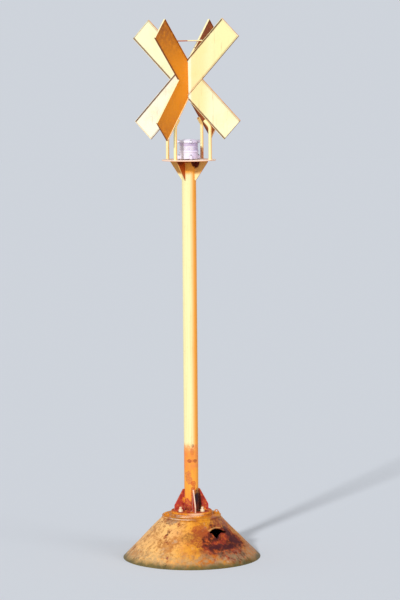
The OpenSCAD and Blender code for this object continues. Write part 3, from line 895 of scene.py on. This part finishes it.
def tear_place(across, down):
    """Direction and way down on the cone of a point of the tear's outline, cut square to the plate."""
    radius = CONE_TOP_R + down * CONE_SIN
    sunk = across * across / (2 * radius * (CONE_COS + CONE_SIN * CONE_RUN))
    ahead = radius - sunk * CONE_COS
    return TEAR_ANGLE + math.atan2(across, ahead), (math.hypot(ahead, across) - CONE_TOP_R) / CONE_SIN


def ragged_tear():
    """The tear's outline with its teeth, (across, down) in metres, clean along its top and rough below."""
    outline = []
    for k, (start, end) in enumerate(zip(TEAR, TEAR[1:] + TEAR[:1])):
        a, b = Vector(start) / 1000, Vector(end) / 1000
        count = max(2, int((b - a).length / 0.005))
        out = Vector((b.y - a.y, a.x - b.x)).normalized()
        rough = 0.0015 if k < TEAR_TOP_CORNERS - 1 else 0.005
        for i in range(count):
            point = a.lerp(b, i / count)
            broad = noise.noise(Vector((point.x * 90, point.y * 90, 3)))
            teeth = 0.5 * noise.noise(point.to_3d() * 260)
            outline.append(point + out * (broad + teeth) * rough)
    return outline


def inside(point, outline):
    """Whether a flat point lies inside a closed outline."""
    odd = False
    for a, b in zip(outline, outline[1:] + outline[:1]):
        if (a.y > point.y) != (b.y > point.y):
            if point.x < a.x + (point.y - a.y) * (b.x - a.x) / (b.y - a.y):
                odd = not odd
    return odd


# Dents of the cone: direction in degrees, way down, half width, half height, depth
CONE_DENTS = [
    (-30, 0.2, 0.13, 0.12, 0.016),
    (-62, 0.27, 0.16, 0.07, 0.01),
    (-100, 0.33, 0.12, 0.1, 0.008),
    (-150, 0.24, 0.15, 0.13, 0.01),
    (60, 0.3, 0.2, 0.14, 0.012),
    (140, 0.42, 0.16, 0.12, 0.009),
]


def cone_lift(turn, slant, torn):
    """How far the plate stands off the true cone: dents, slight unevenness, and torn, its curl."""
    lift = 0
    radius = CONE_TOP_R + slant * CONE_SIN
    for angle, down, half_w, half_h, depth in CONE_DENTS:
        across = ((turn - math.radians(angle) + math.pi) % (2 * math.pi) - math.pi) * radius
        lift -= depth * math.exp(-((across / half_w) ** 2) - ((slant - down) / half_h) ** 2)
    place = cone_point(turn, slant)
    lift += 0.0018 * noise.noise(place * 5) + 0.0008 * noise.noise(place * 14) - 0.001
    lift += torn
    rim = min(slant, CONE_SLANT - slant)
    return lift * min(1, rim / 0.05)


# The cone is meshed on its flat sheet, a sector round its apex: an even grid, and closer points at the tear
APEX = CONE_TOP_R / CONE_SIN
HALF_SHEET = math.pi * CONE_SIN
SHEET_COLUMNS = 190
SHEET_ROWS = 34
FINE_STEP = 0.009
FINE_REACH = (19, 15)
SHEET_MARGIN = 0.01
SEWING = 0.0004


def laid_flat(turn, slant):
    """A place of the cone on its flat sheet."""
    return polar(APEX + slant, (turn - TEAR_ANGLE) * CONE_SIN).xy


def rolled(point):
    """Direction and way down on the cone of a point of the flat sheet."""
    return TEAR_ANGLE + math.atan2(point.y, point.x) / CONE_SIN, point.length - APEX


def even_grid(outline):
    """The sheet's grid outside the tear, then the tear's outline, and the edges of both."""
    points, edges, seen = [], [], {}
    for j in range(SHEET_ROWS + 1):
        for i in range(SHEET_COLUMNS + 1):
            point = polar(APEX + CONE_SLANT * j / SHEET_ROWS, HALF_SHEET * (2 * i / SHEET_COLUMNS - 1)).xy
            if 0 < j < SHEET_ROWS and inside(point, outline):
                continue
            seen[i, j] = len(points)
            points.append(point)
    for i in range(SHEET_COLUMNS):
        edges += [(seen[i, j], seen[i + 1, j]) for j in (0, SHEET_ROWS)]
    for j in range(SHEET_ROWS):
        edges += [(seen[i, j], seen[i, j + 1]) for i in (0, SHEET_COLUMNS)]
    start, count = len(points), len(outline)
    edges += [(start + i, start + (i + 1) % count) for i in range(count)]
    return points + outline, edges


def closer_points(outline, centre):
    """Points round the tear, each a little out of line."""
    random.seed(7)
    across, down = FINE_REACH
    points = []
    for i in range(-across, across + 1):
        for j in range(-down, down + 1):
            jitter = Vector((random.uniform(-1, 1), random.uniform(-1, 1))) * FINE_STEP * 0.3
            point = centre + Vector((i, j)) * FINE_STEP + jitter
            on_sheet = APEX + SHEET_MARGIN < point.length < APEX + CONE_SLANT - SHEET_MARGIN
            if on_sheet and not inside(point, outline):
                points.append(point)
    return points


def sewn(obj):
    """Joins the rolled sheet where its sides meet, and drops the points that no face uses."""
    sheet = bmesh.new()
    sheet.from_mesh(obj.data)
    bmesh.ops.remove_doubles(sheet, verts=sheet.verts, dist=SEWING)
    bmesh.ops.delete(sheet, geom=[v for v in sheet.verts if not v.link_faces], context="VERTS")
    bmesh.ops.recalc_face_normals(sheet, faces=sheet.faces)
    sheet.to_mesh(obj.data)
    sheet.free()


def torn_cone(material):
    """The float's cone as thick dented plate with its ragged tear."""
    outline = [laid_flat(*tear_place(p.x, p.y)) for p in ragged_tear()]
    centre = sum(outline, Vector((0, 0))) / len(outline)
    points, edges = even_grid(outline)
    points += closer_points(outline, centre)
    flat_points, _, triangles, *_ = delaunay_2d_cdt(points, edges, [], 0, 1e-6)

    def curl(point):
        """The tear's rim turns in along its top and out below."""
        if (point - centre).length >= NEAR_TEAR:
            return 0
        near = min(outline, key=lambda q: (q - point).length_squared)
        inward = -0.5 if near.length < centre.length else 0.7
        return inward * CURL * math.exp(-(near - point).length / CURL_REACH)

    def dented(point):
        turn, slant = rolled(point)
        return cone_point(turn, slant, cone_lift(turn, slant, curl(point)))

    def on_plate(face):
        middle = sum((flat_points[i] for i in face), Vector((0, 0))) / 3
        on_sheet = APEX < middle.length < APEX + CONE_SLANT
        on_sheet = on_sheet and abs(math.atan2(middle.y, middle.x)) <= HALF_SHEET
        return on_sheet and not inside(middle, outline)

    faces = [face for face in triangles if on_plate(face)]
    solid = [dented(point) for point in flat_points]
    obj = steel_sheet("hull_cone_plate", solid, faces, material, PLATING, -1)
    sewn(obj)
    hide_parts("hull_cone")


# Tongues of plate: hinge and tip as pairs of places on the tear's sheet, (across, down) in millimetres,
# then the tip's depth, negative inside the float, and a seed for its ragged end
TONGUES = {
    "torn_tongue_left": ([(-96, 150), (-72, 224)], [(-66, 168), (-50, 198)], -0.034, 1.7),
    "torn_tongue_right": ([(92, 168), (40, 176)], [(84, 160), (50, 166)], -0.016, 4.2),
    "torn_tongue_low": ([(-66, 224), (-26, 191)], [(-52, 240), (-16, 208)], 0.02, 8.5),
}


def torn_tongues(material):
    """The tongues hang on at the tear's rim and are bent into the float or out of it."""
    columns, rows = 14, 12
    faces = skin(rows + 1, columns + 1, wrap=False)
    for name, (hinge, tip, depth, seed) in TONGUES.items():
        points = []
        for j in range(rows + 1):
            share = j / rows
            for i in range(columns + 1):
                side = i / columns
                low = Vector(hinge[0]).lerp(Vector(hinge[1]), side)
                high = Vector(tip[0]).lerp(Vector(tip[1]), side)
                torn = 1 + 0.22 * noise.noise(Vector((side * 5.1, seed, 0.3))) if j == rows else 1
                flat = low.lerp(high, share * torn) / 1000
                turn, slant = tear_place(flat.x, flat.y)
                bend = depth * share ** 1.6 + 0.004 * noise.noise(Vector((side * 3, share * 3, seed)))
                points.append(cone_point(turn, slant, cone_lift(turn, slant, 0) + bend - 0.004))
        steel_sheet(name, points, faces, material, TONGUE_T, 0)


def foot_bolts(material):
    """Four studs on the foot flange, each with its washer and nut and a long end above it."""
    shape = Shape()
    washer = [(0, 0), (WASHER_R, 0), (WASHER_R, WASHER_T - 0.0005), (0.0125, WASHER_T), (0, WASHER_T)]
    for k in range(4):
        place = turned(FIRST_STUD + 90 * k) @ moved(STUD_CIRCLE_R, 0, MAST_FOOT)
        shape.add(lathe(washer, 32), place)
        shape.add(hexagon(NUT_R, NUT_H, 0.003), place @ moved(0, 0, WASHER_T) @ turned(20 + 37 * k))
        shape.add(threaded(STUD_R, STUD_LOW, STUD_HIGH, STUD_PITCH), place)
    shape.make("foot_bolts", material, "rusted_paint", smooth=False)


def foot_welds(material):
    shape = Shape()
    shape.ring(above(MAST_FOOT), MAST_R + 0.001, 0.006)
    foot = (MAST_R, MAST_FOOT)
    seams = (foot, (MAST_R, MAST_FOOT + GUSSET_H)), (foot, (MAST_R + GUSSET_FOOT, MAST_FOOT))
    shape.ribs(0, 4, GUSSET_T / 2 + 0.001, 0.0045, *seams)
    shape.make("foot_welds", material, "rusted_paint")


def deck_welds(material):
    """Beads round the hull flange, under the deck's lip and at the lifting lugs."""
    shape = Shape()
    shape.ring(above(DECK_TOP), FLANGE_R + 0.001, 0.005)
    shape.ring(above(CONE_TOP - 0.002), CONE_TOP_R, 0.004)
    ends = [(LUG_AT + side * LUG_LONG / 2, DECK_TOP) for side in (-1, 1)]
    shape.ribs(0, 2, LUG_T / 2, 0.004, ends)
    shape.make("deck_welds", material, "float_paint")


def platform_welds(material):
    """Beads under the lantern platform and at the posts' feet."""
    shape = Shape()
    under = PLATFORM_TOP - PLATFORM_T
    shape.ring(above(under), MAST_R, 0.004)
    corner = (MAST_R, under)
    seams = ((MAST_R, under - PLATFORM_GUSSET_H), corner), (corner, (PLATFORM_GUSSET_R, under))
    shape.ribs(45, 4, PLATFORM_GUSSET_T / 2 + 0.0005, 0.0035, *seams)
    for k in range(4):
        foot = turned(45 + 90 * k) @ Vector((POST_AT, 0, PLATFORM_TOP))
        shape.ring(foot, POST_R + 0.0005, 0.0035, 0.003)
    shape.make("platform_welds", material, "yellow_paint")


def hull_welds(material):
    """The float's seams and the welds of the tail, under water."""
    shape = Shape()
    hull_rings = [(HULL_R, CONE_BOTTOM), (HULL_R, SIDE_BOTTOM), (BOTTOM_R, BOTTOM)]
    for radius, z in hull_rings + [(TAIL_R, TAIL_BOTTOM + 0.02), (TAIL_R, BOTTOM)]:
        shape.ring(above(z), radius, 0.0055, 0.008)
    rise = (BRACKET_REACH - BOTTOM_R) * (SIDE_BOTTOM - BOTTOM) / (HULL_R - BOTTOM_R)
    seams = (
        ((BOTTOM_R, BOTTOM), (BRACKET_REACH, BOTTOM + rise)),
        ((TAIL_R, BOTTOM - BRACKET_H), (TAIL_R, BOTTOM)),
    )
    shape.ribs(0, 4, BRACKET_T / 2, 0.005, *seams)
    shape.make("hull_welds", material, "underwater_paint")


def arm_places():
    """The place of each of the topmark's eight arms: x runs out along the arm, y through its plate."""
    lean = turned(LEAN_TOWARDS) @ tipped(LEAN) @ turned(-LEAN_TOWARDS)
    middle = moved(0, 0, PLATFORM_TOP + CROSS_UP) @ lean
    first = middle @ turned(CROSS_TURN - 45) @ moved(-CROSS_SLIDE, 0, 0)
    places = [("first", first @ tipped(-tilt)) for tilt in (45, 135, 225, 315)]
    for which, turn in (("far", 45), ("near", 225)):
        places += [(which, middle @ turned(turn) @ tipped(-tilt)) for tilt in (45, -45)]
    return places


def arm_pieces(materials):
    """A narrow bar that closes the end of each arm, and stitch welds between its plate and its edging."""
    trims, welds = ({which: Shape() for which in materials} for _ in range(2))
    end, edge = STRIP_LEN / 2, STRIP_W / 2 - EDGING_T
    for which, place in arm_places():
        trims[which].add(bar((end - 0.005, -0.007, -edge), (end + 0.0002, 0.007, edge)), place)
        for z in (-edge, edge):
            for y in (-STRIP_T / 2, STRIP_T / 2):
                for k in range(4):
                    start = Vector((0.19 + 0.145 * k, y, z))
                    welds[which].seam(start, start + Vector((0.032, 0, 0)), 0.0026, place, 0.003)
    for which, material in materials.items():
        trims[which].make(f"end_trims_{which}", material, "yellow_paint", smooth=False)
        welds[which].make(f"arm_welds_{which}", material, "yellow_paint")


def fresnel_lens(material):
    """The lantern's lens: stepped ridges outside and a smooth bore."""
    inner = LENS_R - 0.006
    rim = 0.003
    ridges = 9
    pitch = (LENS_HIGH - LENS_LOW - 2 * rim) / ridges
    profile = [(inner, LENS_LOW), (LENS_R, LENS_LOW), (LENS_R, LENS_LOW + rim)]
    for k in range(ridges):
        low = LENS_LOW + rim + k * pitch
        steep = 0.15 if k < ridges / 2 else 0.85
        profile += [(LENS_R - 0.0038, low + pitch * 0.02), (LENS_R - 0.0005, low + pitch * steep)]
        profile += [(LENS_R - 0.003, low + pitch * 0.98)]
    profile += [(LENS_R, LENS_HIGH - rim), (LENS_R, LENS_HIGH), (inner, LENS_HIGH), (inner, LENS_LOW)]
    shape = Shape()
    shape.add(lathe(profile, 96))
    obj = shape.make("fresnel_lens", material, "lens_clear")
    obj.data.shade_flat()
    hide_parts("lantern_lens")


def lantern_bolts(material):
    """Screws round the cap's rim, and nuts on the lugs and feet."""
    shape = Shape()
    lug_top = LANTERN_FOOT + LANTERN_LUG_H
    washer = [(0, 0), (SMALL_WASHER_R, 0), (SMALL_WASHER_R, SMALL_WASHER_T), (0, SMALL_WASHER_T)]
    nut = hexagon(SMALL_NUT_R, SMALL_NUT_H, SMALL_CHAMFER)
    for k in range(4):
        place = turned(90 * k) @ moved(LUG_REACH - LANTERN_LUG_R, 0, 0)
        for z in (LENS_HIGH + CAP_T, lug_top):
            shape.add(lathe(washer, 24), place @ moved(0, 0, z))
            shape.add(nut, place @ moved(0, 0, z + SMALL_WASHER_T) @ turned(25 * k))
        shape.add(threaded(SMALL_STUD_R, lug_top + 0.006, lug_top + 0.011, SMALL_PITCH), place)
        low_nut = place @ moved(0, 0, LENS_HIGH - UNDER_CAP) @ turned(12)
        shape.add(hexagon(SMALL_NUT_R, UNDER_CAP, SMALL_CHAMFER), low_nut)
        side = turned(45 + 90 * k) @ moved(LENS_R + 0.0055, 0, LENS_HIGH + 0.006)
        shape.add(hexagon(0.0055, 0.004, SMALL_CHAMFER), side @ tipped(90))
    shape.make("lantern_bolts", material, "stud_steel", smooth=False)


def clamp_band(material):
    """The band that clamps the lens to the housing, with its bolt."""
    shape = Shape()
    low = LENS_LOW - 0.016
    high = low + BAND_H
    inner = LENS_R + 0.003
    outer = inner + BAND_T
    shape.add(lathe([(inner, low), (outer, low), (outer, high), (inner, high)], 96))
    for y in (-0.006, 0.006):
        ear = bar((0, y - 0.0012, 0), (0.013, y + 0.0012, BAND_H), 0.0004)
        shape.add(ear, turned(BAND_BOLT_AT) @ moved(inner, 0, low))
    place = turned(BAND_BOLT_AT) @ moved(inner + 0.0085, -0.012, low + BAND_H / 2)
    shape.add(threaded(0.0022, 0, 0.024, 0.0012, 12), place @ Matrix.Rotation(-math.pi / 2, 4, "X"))
    shape.make("clamp_band", material, "lantern_grey", smooth=False)


def lamp_details(material):
    """Lamp modules in two rows round the lamp unit, behind the lens."""
    shape = Shape()
    dome = [(0.0055, 0), (0.0052, 0.002), (0.0036, 0.0042), (0, 0.0052)]
    for row in range(2):
        for k in range(10):
            place = turned(36 * k + 18 * row) @ moved(0.0385, 0, LAMP_TOP - 0.024 + 0.013 * row)
            shape.add(lathe(dome, 16), place @ tipped(90))
    shape.make("lamp_modules", material, "lens_clear")


def split_pin(material):
    """The bent wire that keeps the shackle pin's nut on. It moves with the shackle."""
    shape = Shape()
    y = PIN_END + 0.004
    for side in (-1, 1):
        path = [Vector((side * 0.0015, y, PIN_Z + 0.024 - 0.004 * k)) for k in range(12)]
        path += [Vector((side * (0.0015 + 0.004 * k), y, PIN_Z - 0.023 - 0.001 * k)) for k in range(1, 6)]
        shape.add(tube_along(path, lambda k: 0.0017, 8))
    loop = []
    for k in range(13):
        turn = math.radians(-60 + 25 * k)
        loop.append(Vector((0.006 * math.cos(turn), y, PIN_Z + 0.029 + 0.006 * math.sin(turn))))
    shape.add(tube_along(loop, lambda k: 0.0022, 8))
    shape.make("split_pin", material, "shackle_steel", body="mooring_shackle")


def under_water(kind):
    """A random place on the float's side, its bottom cone or its tail, and the direction that it faces."""
    turn = random.uniform(0, 2 * math.pi)
    out = polar(1, turn)
    if kind == "side":
        return out * HULL_R + above(random.uniform(SIDE_BOTTOM + 0.01, CONE_BOTTOM - 0.01)), out
    if kind == "cone":
        share = math.sqrt(random.random())
        run = HULL_R - BOTTOM_R
        rise = SIDE_BOTTOM - BOTTOM
        place = out * (BOTTOM_R + run * share) + above(BOTTOM + rise * share)
        return place, (out * rise - above(run)).normalized()
    return out * TAIL_R + above(random.uniform(BALLAST_HIGH + 0.02, BOTTOM - 0.02)), out


BARNACLE_CLUSTERS = (("side", 110), ("cone", 90), ("tail", 46))
WEED_BLADES = 420


def barnacles(material):
    """Clusters of small shells with open tops, on the float and the tail."""
    random.seed(31)
    shape = Shape()
    for kind, clusters in BARNACLE_CLUSTERS:
        for _ in range(clusters):
            centre, facing = under_water(kind)
            upright = facing.to_track_quat("Z", "Y").to_matrix().to_4x4()
            for _ in range(random.randint(2, 8)):
                wide = random.uniform(0.0035, 0.009)
                high = wide * random.uniform(0.7, 1.1)
                at = centre + upright @ Vector((random.gauss(0, 0.02), random.gauss(0, 0.02), -0.0015))
                if kind != "cone":
                    # Sinks the shells that stand round the curve, so that each meets the plate
                    bend = HULL_R if kind == "side" else TAIL_R
                    flat = Vector((at.x, at.y, 0)).normalized() * (bend - 0.001)
                    at = Vector((flat.x, flat.y, at.z))
                profile = [(wide, 0), (wide * 0.72, high * 0.7), (wide * 0.46, high), (0, high * 0.45)]
                place = Matrix.Translation(at) @ upright @ turned(random.uniform(0, 360))
                shape.add(lathe(profile, 8), place)
    shape.make("barnacles", material, "underwater_paint")


def weed(material):
    """Short blades of weed that hang below the waterline, close to the float's side."""
    random.seed(12)
    shape = Shape()
    steps = 6
    faces = skin(steps + 1, 2, wrap=False)
    for _ in range(WEED_BLADES):
        turn = random.uniform(0, 2 * math.pi)
        length = random.uniform(0.03, 0.13)
        low = random.random() >= 0.7
        z = SIDE_BOTTOM + 0.05 if low else random.uniform(CONE_BOTTOM - 0.02, CONE_BOTTOM - 0.16)
        wide = random.uniform(0.002, 0.004)
        sway = random.uniform(-0.03, 0.03)
        points = []
        for k in range(steps + 1):
            share = k / steps
            off = 0.001 + 0.009 * math.sin(share * 2.4) + 0.003 * math.sin(share * 9 + turn * 7)
            at = turn + sway * share + 0.006 * math.sin(share * 6 + turn * 11)
            for side in (-1, 1):
                around = at + side * wide * (1 - share * 0.7) / HULL_R
                points.append(polar(HULL_R + off, around, z - length * share))
        shape.add((points, faces))
    shape.make("weed", material, "underwater_paint")


def spot(x, y, z, across, high):
    """The centre and radii of a spot that is as deep as it is wide."""
    return (x, y, z), (across, across, high)


def on_rim(radius, angle, z, across, high):
    return spot(*polar(radius, math.radians(angle), z), across, high)


def on_mast(angle, z, across, high):
    return on_rim(MAST_R, angle, z, across, high)


def on_cone(angle, slant, across, high):
    return spot(*cone_point(math.radians(angle), slant), across, high)


# Stains, and spots of painted shade and painted highlight: places with their radii, tint, strength,
# raggedness and grain
MAST_STAINS_AND_SHADE = [
    ([on_mast(-89, 1.113, 0.012, 0.02)], (96, 44, 24), 0.85, 0.5, 60),
    ([spot(0, 0, 1, 0.2, 0.13)], (238, 128, 78), 0.6, 0.9, 16),
    ([on_mast(-95, 1.055, 0.02, 0.035)], (190, 100, 50), 0.55, 0.9, 40),
    ([on_mast(-118, 0.964, 0.02, 0.02), on_mast(-68, 0.961, 0.02, 0.02)], (150, 64, 36), 0.8, 0.7, 50),
    ([on_mast(-92, 0.964, 0.05, 0.012)], (180, 96, 50), 0.55, 0.9, 40),
    ([on_mast(-130, 0.823, 0.035, 0.045), on_mast(-122, 0.774, 0.035, 0.045)], (190, 96, 72), 0.7, 0.9, 34),
    ([on_mast(-84, 0.74, 0.028, 0.028)], (196, 66, 34), 0.75, 0.9, 40),
    ([on_mast(-86, 0.62, 0.024, 0.11)], (184, 70, 40), 0.9, 0.5, 30),
    ([spot(0, 0, 0.49, 0.2, 0.1)], (184, 50, 54), 0.97, 0.8, 18),
    # Painted shadow: near-black patches low on the mast beside the front gusset, where its shadow falls
    ([on_mast(-40, 0.56, 0.05, 0.13)], (62, 16, 14), 0.95, 0.5, 20),
    ([on_mast(-52, 0.51, 0.06, 0.13)], (44, 10, 20), 1, 0.4, 13),
    # Painted shade under the platform, between the gussets
    ([on_mast(-56, PLATFORM_TOP - 0.01, 0.036, 0.06)], (110, 36, 8), 1, 0.2, 24),
]
FLOAT_STAINS = [
    ([on_cone(-147, 0.02, 0.06, 0.035), on_cone(-138, 0.01, 0.05, 0.025)], (150, 118, 96), 0.75, 1.3, 26),
    ([on_cone(-105.6, 0.199, 0.07, 0.045)], (136, 80, 36), 0.65, 1.4, 24),
    ([on_cone(-89.3, 0.11, 0.08, 0.045)], (170, 76, 34), 0.75, 1.3, 22),
    ([on_cone(-78, 0.2, 0.08, 0.1)], (176, 84, 26), 0.75, 1.2, 20),
    ([on_cone(-90, 0.165, 0.08, 0.06), on_cone(-91, 0.245, 0.11, 0.055)], (150, 66, 28), 0.85, 1.2, 26),
    ([on_cone(-50, 0.04, 0.11, 0.055), on_cone(-34, 0.08, 0.08, 0.08)], (132, 62, 48), 0.85, 1.1, 20),
]
TEAR_RUST = [
    on_cone(-60, 0.22, 0.2, 0.12),
    on_cone(-76, 0.31, 0.15, 0.1),
    on_cone(-40, 0.26, 0.15, 0.12),
    on_cone(-58, 0.42, 0.18, 0.11),
]
# Painted shade round the tear
TEAR_SHADE = [
    on_cone(-41, 0.175, 0.06, 0.07),
    on_cone(-40, 0.275, 0.085, 0.08),
    on_cone(-68, 0.21, 0.03, 0.02),
    on_cone(-74, 0.318, 0.09, 0.022),
    on_cone(-60, 0.335, 0.09, 0.022),
]
# Painted highlight along the tear's top lip
TEAR_LIP_HIGHLIGHT = [
    spot(*cone_point(*tear_place(-0.096 + 0.011 * k, 0.119 - 0.0045 * k + 0.0003 * k * k)), 0.02, 0.005)
    for k in range(14)
]
# Painted highlights on the rims of the flange and the deck
RIM_HIGHLIGHTS = [
    on_rim(FLANGE_R, -112, DECK_TOP + 0.016, 0.14, 0.012),
    on_rim(DECK_R, -126, DECK_TOP, 0.13, 0.008),
]
# Painted shadow: the lantern's shadow on a post, laid as a brown tint
POST_SHADOW = [([spot(0.1725, 0.1725, PLATFORM_TOP + 0.04, 0.03, 0.08)], (196, 84, 44), 0.9, 0.3, 30)]
# Painted shade: dark patches under the platform, between the gussets
GUSSET_SHADE = [
    ([spot(0.05, -0.05, PLATFORM_TOP - 0.005, 0.058, 0.085)], (104, 30, 8), 1, 0.2, 24),
    ([spot(-0.112, -0.112, PLATFORM_TOP - 0.008, 0.06, 0.042)], (96, 28, 4), 0.85, 0.3, 24),
]

slots = {
    # The posts' painted shadow and the painted shade under the platform are laid on this paint
    "yellow_paint": yellow_paint("yellow_paint", (250, 196, 112), 0.9, POST_SHADOW + GUSSET_SHADE),
    "rusted_paint": rusted_paint("rusted_paint"),
    "float_paint": float_paint("float_paint"),
    "underwater_paint": fouled("underwater_paint"),
    "ballast_iron": plain("ballast_iron"),
    "shackle_steel": rusty_steel("shackle_steel"),
    "gasket_rubber": plain("gasket_rubber"),
    "lens_clear": clear_plastic("lens_clear"),
    "lantern_grey": lantern_shell("lantern_grey"),
    "lamp_dark": plain("lamp_dark", gloss=0.5),
    "stud_steel": plain("stud_steel", metallic=0.7),
}
# The painted shadow lines along the edging follow the middle of the long strip and of the two half strips
long_line, half_line = ((place.translation, place.col[2].xyz) for _, place in arm_places()[:2])
white, cream, yellowed = (253, 251, 228), (252, 249, 206), (250, 242, 180)
crosses = {
    "first": first_cross_paint("half_strip_paint", cream, cream, 0.8, half_line),
    # The far cross's tints are darker than the near one's: painted shade
    "far": second_cross_paint("far_cross_paint", (178, 86, 22), (118, 56, 22)),
    "near": second_cross_paint("near_cross_paint", (240, 145, 12), (138, 68, 30)),
}
# The gussets under the platform: a warm painted shade below it and dark painted shade between them
gusset_paint = yellow_paint("gusset_paint", (190, 76, 6), 0.8, GUSSET_SHADE, shade_tint=(255, 200, 112))
mast_rust = [(0.46, 0.58), (PLATFORM_TOP - 0.012, PLATFORM_TOP - 0.04)]
own_finishes = [
    (yellow_paint("mast_paint", (252, 166, 58), 0.6, MAST_STAINS_AND_SHADE, (1.03, 1.16), mast_rust), "mast_tube"),
    (rusted_paint("flange_paint", islands=0.11, rim=True), "mast_flange"),
    (platform_paint("platform_paint"), "lantern_platform"),
    (gusset_paint, "platform_gussets"),
    (yellow_paint("rod_paint", (206, 104, 50), 0.9), "tie_rod_long tie_rods_short"),
    (first_cross_paint("long_strip_paint", white, yellowed, 0.85, long_line), "long_strip long_edging"),
    (crosses["first"], "upper_half_strip lower_half_strip upper_edging lower_edging"),
    (crosses["far"], "far_cross_panel far_edging"),
    (crosses["near"], "near_cross_panel near_edging"),
]
special = {node: finish for finish, nodes in own_finishes for node in nodes.split()}
for part in frame["record"]["subparts"]:
    materials = frame["nodes"][part["node"]].data.materials
    materials.clear()
    materials.append(special.get(part["node"], slots[part["material_slot"]]))

camera()
torn_cone(slots["float_paint"])
torn_tongues(plain("rust_bare"))
foot_bolts(nut_paint("nut_paint"))
foot_welds(slots["rusted_paint"])
deck_welds(slots["float_paint"])
platform_welds(slots["yellow_paint"])
hull_welds(slots["underwater_paint"])
arm_pieces(crosses)
fresnel_lens(slots["lens_clear"])
lantern_bolts(slots["stud_steel"])
clamp_band(slots["lantern_grey"])
lamp_details(slots["lens_clear"])
split_pin(slots["shackle_steel"])
barnacles(plain("barnacle_shell"))
weed(plain("weed_green"))
floor(floor_matt("floor_matt"))
world()
sun("key", KEY_FROM, KEY, 5)
sun("fill", FILL_FROM, FILL, 25)
bpy.context.scene.view_settings.view_transform = "Standard"
